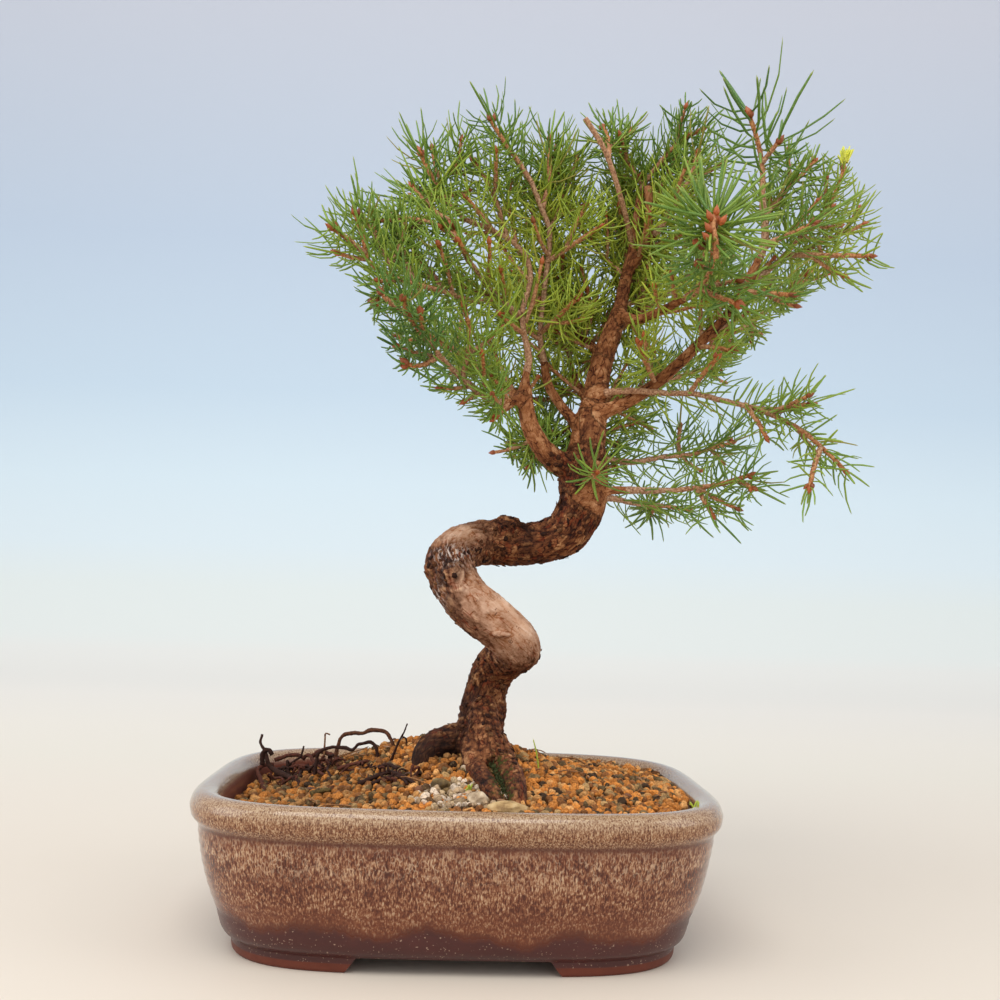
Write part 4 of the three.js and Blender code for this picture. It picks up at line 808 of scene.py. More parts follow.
class Look:
    """A material whose nodes are added one call at a time."""

    def __init__(self, name, roughness=0.6, **values):
        self.material = bpy.data.materials.new(name)
        self.material.use_nodes = True
        self.tree = self.material.node_tree
        self.shader = self.tree.nodes["Principled BSDF"]
        self.shader.inputs["Roughness"].default_value = roughness
        for socket, value in values.items():
            self.shader.inputs[socket.replace("_", " ")].default_value = value
        self.place = self.add("ShaderNodeTexCoord").outputs["Object"]

    def add(self, kind, **settings):
        node = self.tree.nodes.new(kind)
        for key, value in settings.items():
            setattr(node, key, value)
        return node

    def feed(self, socket, value):
        if isinstance(value, bpy.types.NodeSocket):
            self.tree.links.new(value, socket)
        elif isinstance(value, tuple) and len(value) == 3 and socket.type == "RGBA":
            socket.default_value = (*value, 1)
        else:
            socket.default_value = value

    def texture(self, kind, size, stretch, where, **settings):
        """A texture with lumps of a size in millimetres, longer along an axis whose stretch is over 1."""
        mapping = self.add("ShaderNodeMapping")
        self.feed(mapping.inputs["Vector"], where or self.place)
        mapping.inputs["Scale"].default_value = tuple(1 / (size * MM * factor) for factor in stretch)
        node = self.add(kind, **settings)
        self.feed(node.inputs["Vector"], mapping.outputs["Vector"])
        node.inputs["Scale"].default_value = 1
        return node

    def noise(self, size, detail=3.0, roughness=0.55, stretch=(1, 1, 1), where=None):
        node = self.texture("ShaderNodeTexNoise", size, stretch, where)
        node.inputs["Detail"].default_value = detail
        node.inputs["Roughness"].default_value = roughness
        return node.outputs["Fac"]

    def cells(self, size, stretch, where=None):
        """The distance to the edge of a cell."""
        node = self.texture("ShaderNodeTexVoronoi", size, stretch, where, feature="DISTANCE_TO_EDGE")
        return node.outputs["Distance"]

    def paint(self, name="tint"):
        """The mesh's tint as a colour."""
        return self.add("ShaderNodeAttribute", attribute_name=name).outputs["Color"]

    def tint(self, name="tint"):
        """The three channels of the mesh's tint."""
        split = self.add("ShaderNodeSeparateColor")
        self.feed(split.inputs["Color"], self.paint(name))
        return split.outputs

    def math(self, operation, first, second=0.0):
        node = self.add("ShaderNodeMath", operation=operation)
        self.feed(node.inputs[0], first)
        self.feed(node.inputs[1], second)
        return node.outputs["Value"]

    def times(self, first, second):
        return self.math("MULTIPLY", first, second)

    def total(self, *parts):
        """The sum of values, each times its weight."""
        amount = 0
        for value, weight in parts:
            amount = self.math("ADD", amount, self.times(value, weight))
        return amount

    def swing(self, value, amount):
        """A 0 to 1 value made to swing evenly round 0, the amount wide."""
        return self.times(self.math("SUBTRACT", value, 0.5), amount)

    def span(self, value, low, high, to_low=0.0, to_high=1.0):
        """The value moved from one range to another, smoothly, and held inside it."""
        node = self.add("ShaderNodeMapRange", interpolation_type="SMOOTHSTEP")
        for socket, amount in zip(node.inputs, (value, low, high, to_low, to_high)):
            self.feed(socket, amount)
        return node.outputs["Result"]

    def height(self):
        """Height above the ground in millimetres."""
        split = self.add("ShaderNodeSeparateXYZ")
        self.feed(split.inputs["Vector"], self.place)
        return self.times(split.outputs["Z"], 1 / MM)

    def ramp(self, value, *stops):
        """A colour for each value, from (value, sRGB colour) stops."""
        node = self.add("ShaderNodeValToRGB")
        self.feed(node.inputs["Fac"], value)
        elements = node.color_ramp.elements
        while len(elements) < len(stops):
            elements.new(0.5)
        for element, (position, colour) in zip(elements, stops):
            element.position = position
            element.color = (*rgb(*colour), 1)
        return node.outputs["Color"]

    def mix(self, share, first, second):
        node = self.add("ShaderNodeMix", data_type="RGBA")
        self.feed(node.inputs["Factor"], share)
        self.feed(node.inputs[6], first)
        self.feed(node.inputs[7], second)
        return node.outputs[2]

    def colour(self, value):
        self.feed(self.shader.inputs["Base Color"], value)

    def rough(self, value):
        self.feed(self.shader.inputs["Roughness"], value)

    def bump(self, height, depth, strength=1.0):
        """Relief from a 0 to 1 height, as deep as the given millimetres, over any relief before it."""
        node = self.add("ShaderNodeBump")
        node.inputs["Strength"].default_value = strength
        node.inputs["Distance"].default_value = depth * MM
        self.feed(node.inputs["Height"], height)
        normal = self.shader.inputs["Normal"]
        if normal.is_linked:
            self.tree.links.new(normal.links[0].from_socket, node.inputs["Normal"])
        self.tree.links.new(node.outputs["Normal"], normal)


# Camera, light and surroundings

def make_camera():
    forward = Vector((math.sin(YAW) * math.cos(PITCH), math.cos(YAW) * math.cos(PITCH), math.sin(PITCH)))
    level_right = Vector((math.cos(YAW), -math.sin(YAW), 0))
    level_up = level_right.cross(forward)
    right = level_right * math.cos(ROLL) + level_up * math.sin(ROLL)
    up = level_up * math.cos(ROLL) - level_right * math.sin(ROLL)
    place = Vector(EYE) * MM + Vector(POT)
    camera = bpy.data.objects.new("camera", bpy.data.cameras.new("camera"))
    turn = Matrix((right, up, -forward)).transposed().to_4x4()
    camera.matrix_world = Matrix.Translation(place) @ turn
    camera.data.lens = LENS
    camera.data.sensor_width = SENSOR_WIDTH
    camera.data.clip_start = 0.01
    scene.collection.objects.link(camera)
    scene.camera = camera


def make_light(name, place, aim, size, power, colour):
    data = bpy.data.lights.new(name, "AREA")
    data.shape = "RECTANGLE"
    data.size, data.size_y = size
    data.energy = power
    data.color = colour
    light = bpy.data.objects.new(name, data)
    light.location = Vector(place) + Vector(POT)
    light.rotation_euler = (Vector(aim) - Vector(place)).to_track_quat("-Z", "Y").to_euler()
    scene.collection.objects.link(light)


def make_room_light():
    world = bpy.data.worlds.new("room")
    world.use_nodes = True
    background = world.node_tree.nodes["Background"]
    background.inputs["Color"].default_value = ROOM_COLOUR
    background.inputs["Strength"].default_value = ROOM_STRENGTH
    scene.world = world
    scene.view_settings.view_transform = "Standard"


def sweep_look():
    """The floor's colours change with the distance back and the wall's with the height, as painted light and
    shade.
    """
    look = Look("sweep", roughness=0.7)
    height = look.height()
    # Painted light low on the wall, where the lamps' light falls off.
    wall = look.ramp(look.times(height, MM / SWEEP_HEIGHT), *WALL_COLOURS_AND_PAINTED_LIGHT)
    split = look.add("ShaderNodeSeparateXYZ")
    look.feed(split.inputs["Vector"], look.place)
    # Painted shade on the floor round and in front of the pot.
    floor = look.ramp(look.times(split.outputs["Y"], 1 / SWEEP_HEIGHT), *FLOOR_COLOURS_AND_PAINTED_LIGHT)
    look.colour(look.mix(look.span(height, 4, 40), floor, wall))
    return look.material


def make_sweep():
    """A pale sweep with painted light and shade: a cream floor that curves up into a wall, cream to pale
    blue to lavender grey.
    """
    bend = [
        (
            SWEEP_BEND_START + SWEEP_BEND_RADIUS * math.cos(turn),
            SWEEP_BEND_RADIUS + SWEEP_BEND_RADIUS * math.sin(turn),
        )
        for turn in np.linspace(-math.pi / 2, 0, 25)
    ]
    profile = [(SWEEP_FRONT, 0.0), *bend, (SWEEP_BEND_START + SWEEP_BEND_RADIUS, SWEEP_TOP)]
    points = [(x, y, z) for y, z in profile for x in (-SWEEP_HALF_WIDTH, SWEEP_HALF_WIDTH)]
    faces = [(2 * k, 2 * k + 1, 2 * k + 3, 2 * k + 2) for k in range(len(profile) - 1)]
    mesh = bpy.data.meshes.new("sweep")
    mesh.from_pydata(points, [], faces)
    mesh.polygons.foreach_set("use_smooth", np.full(len(faces), True))
    mesh.materials.append(sweep_look())
    sweep = bpy.data.objects.new("sweep", mesh)
    scene.collection.objects.link(sweep)


def make_surroundings():
    make_room_light()
    make_sweep()
    for light in LIGHTS:
        make_light(*light)


# Pot

def outline_angles():
    """Angles that stand evenly along the rim's rounded rectangle."""
    dense = np.linspace(0, 2 * math.pi, 24001)
    x, y = outline(RIM_LENGTH / 2, dense)
    lengths = np.concatenate([[0], np.cumsum(np.hypot(np.diff(x), np.diff(y)))])
    even = np.linspace(0, lengths[-1], OUTLINE_POINTS, endpoint=False)
    return np.interp(even, lengths, dense)


def outline(half_length, angles):
    """The pot's outline at the height where it has this half-length."""
    offset = (RIM_LENGTH - RIM_WIDTH) / 2
    reach = RIM_LENGTH / 2 - FLOOR_CORNER_INSET
    half_width = half_length - offset if half_length > reach else half_length * (reach - offset) / reach
    bend = 2 / SQUARENESS
    c, s = np.cos(angles), np.sin(angles)
    return np.sign(c) * half_length * np.abs(c) ** bend, np.sign(s) * half_width * np.abs(s) ** bend


def turning(profile):
    """A closed surface of outline rings through the profile's [half-length, height] points."""
    angles = outline_angles()
    rings = []
    for half_length, z in profile:
        x, y = outline(half_length, angles)
        rings.append(np.stack([x, y, np.full_like(x, z)], axis=-1))
    points = np.vstack([*rings, [[0, 0, profile[0][1]]], [[0, 0, profile[-1][1]]]])
    return points, closed_rings(len(profile), OUTLINE_POINTS)


def rounded(points, step):
    """A smooth profile curve through [half-length, height] points."""
    path = smooth_path([(x, 0, z) for x, z in points], step)
    return [(x, z) for x, _, z in path]


def evenly(start, end, count):
    """Points at even steps from the start, without the end."""
    return [tuple(start[i] + (end[i] - start[i]) * k / count for i in (0, 1)) for k in range(count)]


def pot_profile():
    """The profile from the middle of the hollow underneath, out, over the rim and in over the floor."""
    outer = RIM_LENGTH / 2
    foot = outer - FOOT_INSET
    foot_inside = foot - FOOT_RING
    return [
        *evenly((1, FOOT_TOP), (foot_inside, FOOT_TOP), 10),
        *evenly((foot_inside, FOOT_TOP), (foot_inside, GROUND + 0.5), 4),
        *evenly((foot_inside + 0.5, GROUND), (foot - 0.7, GROUND), 6),
        *rounded([(foot + outward, GROUND + rise) for outward, rise in FOOT_EDGE], 0.5),
        *rounded([(outer - inward, z) for inward, z in WALL_CURVE], 1.1),
        *evenly((POT_INNER - 11, FLOOR_TOP), (0.5, FLOOR_TOP), 10),
    ]


def cut(obj, *cutters):
    """Takes the cutters' volume out of the object and removes them."""
    for cutter in cutters:
        modifier = obj.modifiers.new("cut", "BOOLEAN")
        modifier.operation = "DIFFERENCE"
        modifier.solver = "EXACT"
        modifier.object = cutter
    settle(obj)
    for cutter in cutters:
        bpy.data.objects.remove(cutter)


def settle(obj):
    """Turns the object's modifiers into plain mesh."""
    graph = bpy.context.evaluated_depsgraph_get()
    mesh = bpy.data.meshes.new_from_object(obj.evaluated_get(graph), depsgraph=graph)
    obj.modifiers.clear()
    obj.data = mesh


def mesh_points(mesh):
    """The mesh's points in pot-centred millimetres."""
    flat = np.empty(len(mesh.vertices) * 3, np.float32)
    mesh.vertices.foreach_get("co", flat)
    return (flat.reshape(-1, 3) - POT) / MM


def move_points(mesh, points):
    mesh.vertices.foreach_set("co", (points * MM + POT).astype(np.float32).ravel())
    mesh.update()


def mesh_normals(mesh):
    flat = np.empty(len(mesh.vertices) * 3, np.float32)
    mesh.vertex_normals.foreach_get("vector", flat)
    return flat.reshape(-1, 3)


def glaze_look():
    """Mottled glaze: hair-fine pale flecks over red-brown, bare aubergine below, clay at the foot."""
    look = Look("glaze", roughness=0.2, Specular_IOR_Level=0.35, Coat_Weight=0.3, Coat_Roughness=0.05)
    z = look.height()
    hairs = look.noise(0.5, 2, 0.6, stretch=(1, 1, 3.8))
    flecks = look.noise(1.5, 3, 0.62, stretch=(1, 1, 1.9))
    patches = look.noise(11, 3, 0.6, stretch=(1.4, 1.4, 0.8))
    fine = look.noise(0.38, 2, 0.6, stretch=(1, 1, 1.6))
    amount = look.total((hairs, 0.62), (flecks, 0.2), (patches, 0.2))
    body = look.ramp(
        amount, (0.4, (66, 24, 10)), (0.48, (98, 46, 24)), (0.53, (126, 74, 46)),
        (0.58, (158, 114, 82)), (0.66, (196, 166, 134)),
    )
    # Ringed marks where the glaze ran, most of them under the rim.
    ring = look.span(look.cells(1.05, stretch=(1, 1, 2.1)), 0.16, 0.03)
    high = look.times(look.span(z, 27, 36), look.span(flecks, 0.42, 0.6, 0, 0.55))
    body = look.mix(look.times(ring, high), body, rgb(198, 168, 138))
    # Browner just under the rim and along the glaze's lower edge.
    upper = look.span(z, 38, 42)
    body = look.mix(look.times(upper, 0.4), body, rgb(104, 52, 32))
    lower = look.span(z, 26, 17)
    body = look.mix(look.times(lower, 0.4), body, rgb(116, 58, 30))
    rim_amount = look.total((hairs, 0.5), (fine, 0.5))
    rim_side = look.ramp(rim_amount, (0.4, (80, 36, 20)), (0.5, (132, 84, 52)), (0.62, (188, 156, 122)))
    rim_top = look.ramp(rim_amount, (0.38, (92, 56, 36)), (0.47, (148, 114, 84)), (0.6, (186, 160, 130)))
    rim = look.mix(look.span(z, 47, 52), rim_side, rim_top)
    body = look.mix(look.span(z, 42.2, 43.4), body, rim)
    groove = look.times(look.span(z, 41.4, 42.6), look.span(z, 44.2, 42.8))
    body = look.mix(look.times(groove, 0.75), body, rgb(84, 36, 20))
    # Bare band below the wavy end of the glaze.
    wave = look.swing(look.noise(34, 1, 0.5, stretch=(1, 1, 40)), 22)
    drips = look.swing(look.noise(3.2, 2, 0.5, stretch=(1, 1, 6)), 4)
    edge = look.math("SUBTRACT", look.math("SUBTRACT", z, wave), drips)
    specks = look.span(look.noise(0.7, 1, 0.4), 0.69, 0.73)
    bare = look.mix(look.noise(14, 4), rgb(52, 14, 12), rgb(80, 30, 27))
    bare = look.mix(look.times(specks, 0.7), bare, rgb(180, 150, 128))
    fringe = look.mix(look.span(edge, 12.5, 14.6), bare, rgb(86, 34, 14))
    glazed = look.mix(look.span(edge, 14.4, 17.4), fringe, body)
    clay = look.mix(look.noise(5, 4), rgb(86, 34, 18), rgb(112, 52, 32))
    foot_line = look.math("ADD", 2.6, look.times(look.noise(30, 2), 0.8))
    over_foot = look.math("SUBTRACT", z, foot_line)
    colour = look.mix(look.span(over_foot, -0.25, 0.25), clay, glazed)
    inside = look.mix(look.noise(6, 4), rgb(92, 42, 28), rgb(122, 62, 44))
    is_inside = look.tint()["Red"]
    look.colour(look.mix(is_inside, colour, inside))
    # Gloss on the glaze, satin on the bare band, matt clay.
    satin = look.span(edge, 12.5, 16, 0.4, 0.15)
    matt = look.mix(look.span(over_foot, -0.3, 0.3), (0.85,) * 3, satin)
    look.rough(look.mix(is_inside, matt, (0.8,) * 3))
    look.bump(hairs, 0.12, 0.45)
    look.bump(look.noise(4, 3), 0.3, 0.3)
    return look.material


def pot_cutters(look):
    """A wedge for the passage through the foot ring, and a rod for each drain hole."""
    low, high = FOOT_GAP_BOTTOM / 2 + 0.8, FOOT_GAP_TOP / 2
    top = FOOT_TOP - 0.1
    section = [(-low, GROUND - 1), (low, GROUND - 1), (high, top), (-high, top)]
    points = [(x, y, z) for y in (-RIM_WIDTH / 2, RIM_WIDTH / 2) for x, z in section]
    faces = np.array([(4, 5, 1, 0), (5, 6, 2, 1), (6, 7, 3, 2), (7, 4, 0, 3), (0, 1, 2, 3), (7, 6, 5, 4)])
    cutters = [make_piece("passage", points, [faces], look, smooth=False)]
    heights = (FOOT_TOP - 2, (FOOT_TOP + FLOOR_TOP) / 2, FLOOR_TOP + 2)
    for x in (-DRAIN_X, DRAIN_X):
        path = np.array([(x, 0, z) for z in heights], float)
        cutters.append(make_piece("drain", *tube(path, np.full(3, DRAIN_RADIUS), 40), look))
    return cutters


def inside_pot(points, normals):
    """Which points of the pot belong to its inner wall and floor."""
    reach = POT_INNER + 0.8
    radial = (np.abs(points[:, 0]) / reach) ** SQUARENESS
    radial += (np.abs(points[:, 1]) / (reach - (RIM_LENGTH - RIM_WIDTH) / 2)) ** SQUARENESS
    inside = (radial < 1) & (points[:, 2] > FLOOR_TOP - 0.5)
    return inside & ((np.sum(normals * points * (1, 1, 0), axis=1) < 0) | (normals[:, 2] > 0.8))


def make_pot():
    pot = make_piece("glazed_pot", *turning(pot_profile()), glaze_look())
    cut(pot, *pot_cutters(pot.data.materials[0]))
    mesh = pot.data
    points = mesh_points(mesh)
    # A hand-made body is never quite even.
    wall = ease(points[:, 2], 10, 17)
    sway = lumps(points, 34, 3) * 0.35 + lumps(points, 12, 4) * 0.1
    ripple = 0.09 * np.sin(points[:, 2] * 1.9 + 2 * lumps(points * (0.3, 0.3, 1), 9, 5))
    normals = mesh_normals(mesh)
    inside = inside_pot(points, normals)
    outward = normals * (1, 1, 0)
    outward[inside] = 0
    move_points(mesh, points + outward * ((sway + ripple) * wall - 0.3 * wall)[:, None])
    shade = np.zeros((len(points), 3))
    shade[:, 0] = inside * ease(56 - points[:, 2], 0.5, 3)
    add_tints(mesh, shade)
    mesh.polygons.foreach_set("use_smooth", np.full(len(mesh.polygons), True))
    mesh.set_sharp_from_angle(angle=math.radians(38))
    finish_piece(pot, "glaze", "pot")


# Trunk, roots and boughs

def bark_look():
    """Scaly bark: dark cracks, red-brown plates with tan edges, smoother pale places with a painted
    highlight, and painted shade.
    """
    look = Look("bark", roughness=0.8, Specular_IOR_Level=0.2)
    relief, pale_and_highlight, young_and_lit = (look.tint()[channel] for channel in ("Red", "Green", "Blue"))
    moss, flake, dark = (look.tint("cover")[channel] for channel in ("Red", "Green", "Blue"))
    limb = look.add("ShaderNodeAttribute", attribute_name="limb").outputs["Vector"]
    fibres = look.noise(1.0, 5, 0.7, stretch=(1, 1, 2.4), where=limb)
    flecks = look.noise(2.6, 4, 0.65, stretch=(1, 1, 1.5), where=limb)
    height = look.total((relief, 0.58), (fibres, 0.46))
    bent = look.add("ShaderNodeVectorMath", operation="MULTIPLY_ADD")
    look.feed(bent.inputs[0], look.add("ShaderNodeTexNoise").outputs["Color"])
    bent.inputs[1].default_value = (0.0009, 0.0009, 0.0009)
    look.feed(bent.inputs[2], limb)
    seams = look.cells(1.7, stretch=(1.0, 1.0, 2.0), where=bent.outputs[0])
    hair = look.cells(0.75, stretch=(1, 1, 2.6), where=bent.outputs[0])
    furrows = look.times(look.span(seams, 0.11, 0.0), look.span(flecks, 0.42, 0.6, 0.0, 0.34))
    furrows = look.math("ADD", furrows, look.times(look.span(hair, 0.1, 0.0), 0.07))
    height = look.math("SUBTRACT", height, look.times(furrows, look.mix(pale_and_highlight, (1,) * 3, (0.08,) * 3)))
    plates = look.ramp(
        height, (0.2, (20, 9, 5)), (0.35, (54, 25, 14)), (0.49, (96, 54, 31)),
        (0.61, (134, 84, 50)), (0.76, (184, 136, 92)),
    )
    rusty = look.mix(0.5, plates, rgb(136, 58, 28))
    plates = look.mix(look.span(flecks, 0.52, 0.66), plates, rusty)
    smooth_bark_and_highlight = look.ramp(
        height, (0.2, (112, 58, 32)), (0.36, (178, 116, 74)), (0.5, (212, 166, 134)),
        (0.74, (238, 208, 186)),
    )
    dots = look.span(look.noise(1.1, 2, 0.5, stretch=(1.7, 1.7, 0.6), where=limb), 0.65, 0.7)
    smooth_bark_and_highlight = look.mix(look.times(dots, 0.75), smooth_bark_and_highlight, rgb(80, 44, 28))
    young_bark = look.ramp(
        height, (0.18, (66, 32, 18)), (0.36, (122, 70, 40)), (0.54, (162, 104, 64)),
        (0.78, (206, 154, 112)),
    )
    # Smooth pale bark, partly a painted highlight on the upper sides of the bends.
    colour = look.mix(pale_and_highlight, plates, smooth_bark_and_highlight)
    # Young bark, and painted light on the upper trunk where the crown shades it.
    colour = look.mix(young_and_lit, colour, young_bark)
    # Painted shade under the left root and where the roots meet the trunk, and darker marks elsewhere.
    colour = look.mix(dark, colour, look.mix(0.8, colour, rgb(28, 15, 11)))
    whitish = look.times(flake, look.span(fibres, 0.5, 0.58))
    colour = look.mix(whitish, colour, rgb(206, 190, 180))
    green = look.mix(look.noise(1.5, 3), rgb(30, 40, 8), rgb(66, 80, 22))
    mossy = look.times(moss, look.span(look.noise(1.8, 3), 0.46, 0.62, 0, 0.85))
    look.colour(look.mix(mossy, colour, green))
    look.bump(fibres, 0.6, 0.9)
    look.bump(height, 0.5, 0.6)
    return look.material


def plates_over(places, pitch, seed):
    """Bark plates: how near each place is to a crack, 1 on it, and its plate's level from -1 to 1."""
    random = np.random.default_rng(seed)
    size = np.array(pitch, float)
    places = places / size
    low = np.floor(places.min(axis=0)).astype(int) - 1
    high = np.ceil(places.max(axis=0)).astype(int) + 1
    cells = np.unique(np.floor(places).astype(int), axis=0)
    around = np.array([(x, y, z) for x in (-1, 0, 1) for y in (-1, 0, 1) for z in (-1, 0, 1)])
    cells = np.unique((cells[:, None] + around[None]).reshape(-1, 3), axis=0)
    shape = tuple(high - low + 1)
    shifts = random.random((*shape, 3))
    levels = random.uniform(-1, 1, shape)
    index = tuple(np.clip(cells - low, 0, np.array(shape) - 1).T)
    seeds = cells + shifts[index]
    tree = tree_of(seeds)
    found = [tree.find_n(place, 2) for place in places]
    gap = np.array([second[2] - first[2] for first, second in found])
    own = levels[index][[first[1] for first, _ in found]]
    return 1 - ease(gap, 0.0, 0.2), own


def thick_limbs():
    """The stations of every limb that gets bark relief, and the thin ends of boughs that don't."""
    thick = [("trunk", smooth_path(TRUNK, 1.0))]
    thick += [("root" if k else "left_root", smooth_path(root, 1.0)) for k, root in enumerate(ROOTS)]
    thin = []
    for name, bough in BOUGHS.items():
        path = smooth_path(bough, PATH_STEP)
        if name in SLIM_TOPS:
            start, end, cut_back = SLIM_TOPS[name]
            path[:, 3] = np.maximum(path[:, 3] * (1 - cut_back * ease(path[:, 2], start, end)), 1)
        if name in SLIM_BOUGHS:
            path[:, 3] = np.maximum(path[:, 3] * (1 - 0.4 * ease(path_lengths(path[:, :3]), 2, 9)), 1)
        stout = int(np.sum(path[:, 3] >= THIN))
        if stout > 2:
            thick.append((name, path[:stout]))
        if stout < len(path) - 2:
            thin.append((name, path[max(stout - 3, 0):]))
    return thick, thin


def near(points, centre, reach):
    """1 at the centre, falling smoothly to 0 some way past the reach."""
    return np.exp(-np.sum(((points - np.array(centre)) / reach) ** 2, axis=-1))


def add_scales(points, normals, along, chances):
    """Thin scales of dead bark that lift at one end, where the chances are high."""
    random = np.random.default_rng(25)
    picked = random.choice(len(points), SCALE_COUNT, p=chances / chances.sum(), replace=False)
    body, faces = ball(1)
    heap = Heap()
    for index in picked:
        normal = normals[index] / np.linalg.norm(normals[index])
        length = along[index] + random.normal(0, 0.5, 3)
        length = unit(length - normal * length.dot(normal))
        width = np.cross(normal, length)
        length = unit(length + normal * random.uniform(0.05, 0.4))
        half_length, half_width = random.uniform(0.7, 1.8), random.uniform(0.5, 1.2)
        ragged = body * (1 + random.uniform(-0.22, 0.22, (len(body), 1)))
        scale = ragged[:, :1] * width * half_width + ragged[:, 1:2] * length * half_length
        scale = scale + ragged[:, 2:] * normal * random.uniform(0.14, 0.28)
        colour = rgb(*random.choice(SCALE_COLOURS))
        heap.add(points[index] + normal * 0.12 + scale, [faces], colour)
    look = Look("bark_scales", roughness=0.85, Specular_IOR_Level=0.2)
    grain = look.noise(0.7, 4, 0.65)
    look.colour(look.mix(look.span(grain, 0.45, 0.66, 0.6, 0), look.paint(), rgb(30, 15, 9)))
    look.bump(grain, 0.3, 0.8)
    finish_piece(heap.piece("bark_scales", look.material), "bark")


def near_places(points, places):
    """The sum of bumps round (weight, centre, reach) places."""
    return sum(weight * near(points, centre, reach) for weight, centre, reach in places)


def marked(limbs, names):
    """1 at each station of the named limbs and 0 at the others."""
    return np.concatenate([np.full(len(path), float(name in names)) for name, path in limbs])


def merged_limbs(thick):
    """The trunk, roots, thick boughs and scars' knobs in one closed skin."""
    heap = Heap()
    for name, path in thick:
        sides = 24 if path[0, 3] > 4.5 else 14
        angle = round_angles(sides)
        ring = (np.cos(angle)[None] * 3, np.sin(angle)[None] * 3)
        where = np.stack(np.broadcast_arrays(*ring, path[:, 2:3]), axis=-1)
        uneven = 1 + (0.035 if name in BOUGHS else 0.07) * lumps(where + path[0, 0], 6, 11)
        heap.add(*tube(path[:, :3], path[:, 3:4] * uneven * GIRTH.get(name, 1), sides))
    heap.add(*tube(*ROOT_WEB, 20))
    points, faces = ball(4)
    for scar in SCARS:
        heap.add(np.array(scar["centre"]) + points * scar["lump"], [faces])
    trunk = heap.piece("bark_and_boughs", bark_look())
    merge = trunk.modifiers.new("merge", "REMESH")
    merge.mode = "VOXEL"
    merge.voxel_size = BARK_VOXEL * MM
    soften = trunk.modifiers.new("soften", "SMOOTH")
    soften.iterations = 4
    settle(trunk)
    return trunk


class OnLimbs:
    """For every point of the skin: its limb's direction and radius, and its place along and round it."""

    def __init__(self, points, limbs):
        samples = np.vstack([path for _, path in limbs])
        axes = [frames_along(path[:, :3]) for _, path in limbs]
        along, across, up = (np.vstack([axis[k] for axis in axes]) for k in range(3))
        run = np.concatenate([path_lengths(path[:, :3]) + LIMB_GAP * k for k, (_, path) in enumerate(limbs)])
        tree = tree_of(samples[:, :3])
        nearest = np.array([tree.find(point)[1] for point in points])
        away = points - samples[nearest, :3]
        self.along = along[nearest]
        self.radius = samples[nearest, 3]
        self.local = np.stack([
            np.sum(away * across[nearest], axis=1),
            np.sum(away * up[nearest], axis=1),
            run[nearest] + np.sum(away * along[nearest], axis=1),
        ], axis=1)
        self.bare = marked(limbs, BARE_BOUGHS)[nearest]
        self.bough = marked(limbs, BOUGHS)[nearest] > 0.5


def bark_relief(points, on_limbs, pale_and_highlight, young_and_lit):
    """How far the bark stands out at each point, and its tone from 0 in the cracks to 1 on the plates."""
    local = on_limbs.local
    warped = local + 1.3 * drift(local, 5, 13)
    cracks, levels = plates_over(warped, PLATE_PITCH, 23)
    fine_cracks, fine_levels = plates_over(warped, FINE_PLATE_PITCH, 24)
    flakes = lumps(local, 1.2, 16)
    swell = lumps(local * (1, 1, 0.7), 7, 17)
    wrinkles = np.sin(points[:, 2] * 2.3 + 2.2 * lumps(points, 7, 18)) * ease(points[:, 2], 64, 70)
    wrinkles *= 1 - ease(points[:, 2], 80, 92)
    relief = 0.42 * swell + 0.26 * levels - 0.4 * cracks + 0.14 * fine_levels - 0.14 * fine_cracks
    relief += 0.2 * flakes + 0.14 * wrinkles
    rough = np.clip(on_limbs.radius / 8, 0.16, 1) * (1 - 0.75 * pale_and_highlight) * (1 - 0.3 * young_and_lit)
    tone = 0.58 + 0.14 * swell + 0.17 * levels - 0.2 * cracks + 0.12 * fine_levels - 0.08 * fine_cracks
    tone = np.clip(tone + 0.14 * flakes + 0.1 * wrinkles, 0, 1)
    return relief * rough, tone + (0.62 - tone) * 0.6 * pale_and_highlight


def scar_relief(scar, points, normals):
    """What a scar adds to the relief and the tone: a raised rim round a sunken, ringed middle."""
    facing = unit(np.array(scar["facing"]))
    side = unit(np.cross(facing, (0.02, 0.03, 1)))
    upward = np.cross(side, facing)
    offset = points - np.array(scar["centre"])
    u = offset @ side / scar["size"][0]
    v = offset @ upward / scar["size"][1]
    distance = np.hypot(u, v) + 0.12 * lumps(points, 2.5, 19)
    faces_out = ease(normals @ facing, 0.1, 0.5) * ease(offset @ facing, -7, -4)
    rim = np.exp(-((distance - 0.82) / 0.16) ** 2)
    groove = np.exp(-((distance - 1.12) / 0.1) ** 2) + 0.6 * np.exp(-((distance - 0.5) / 0.1) ** 2)
    middle = ease(distance, 0.75, 0.5)
    rise = faces_out * (0.55 * rim - 0.75 * groove) * scar["bulge"] / 1.5
    return rise, faces_out * (0.12 * rim - 0.3 * groove + 0.16 * middle)


def bark_covers(points):
    """Where moss, whitish flakes and dark places, partly painted shade, lie on the bark."""
    moss = ease(points[:, 2], 72, 67) * ease(points[:, 1], -8, -15) * ease(points[:, 0], 9, 12)
    moss *= 1 - ease(points[:, 0], 17, 20)
    # Painted shade under the left root and where the roots meet the trunk; darker blotches near the soil and
    # by the oval scar.
    dark = near_places(points, SHADE_AND_DARK_PLACES)
    dark += 0.5 * ease(points[:, 2], 70, 60) * ease(lumps(points, 5, 20), 0, 0.3)
    dark += near(points, (-6, -20, 131), (6, 8, 11)) * ease(lumps(points, 3.5, 21), -0.1, 0.35)
    return np.clip(np.stack([moss, near_places(points, FLAKY_PLACES), dark], axis=1), 0, 1)


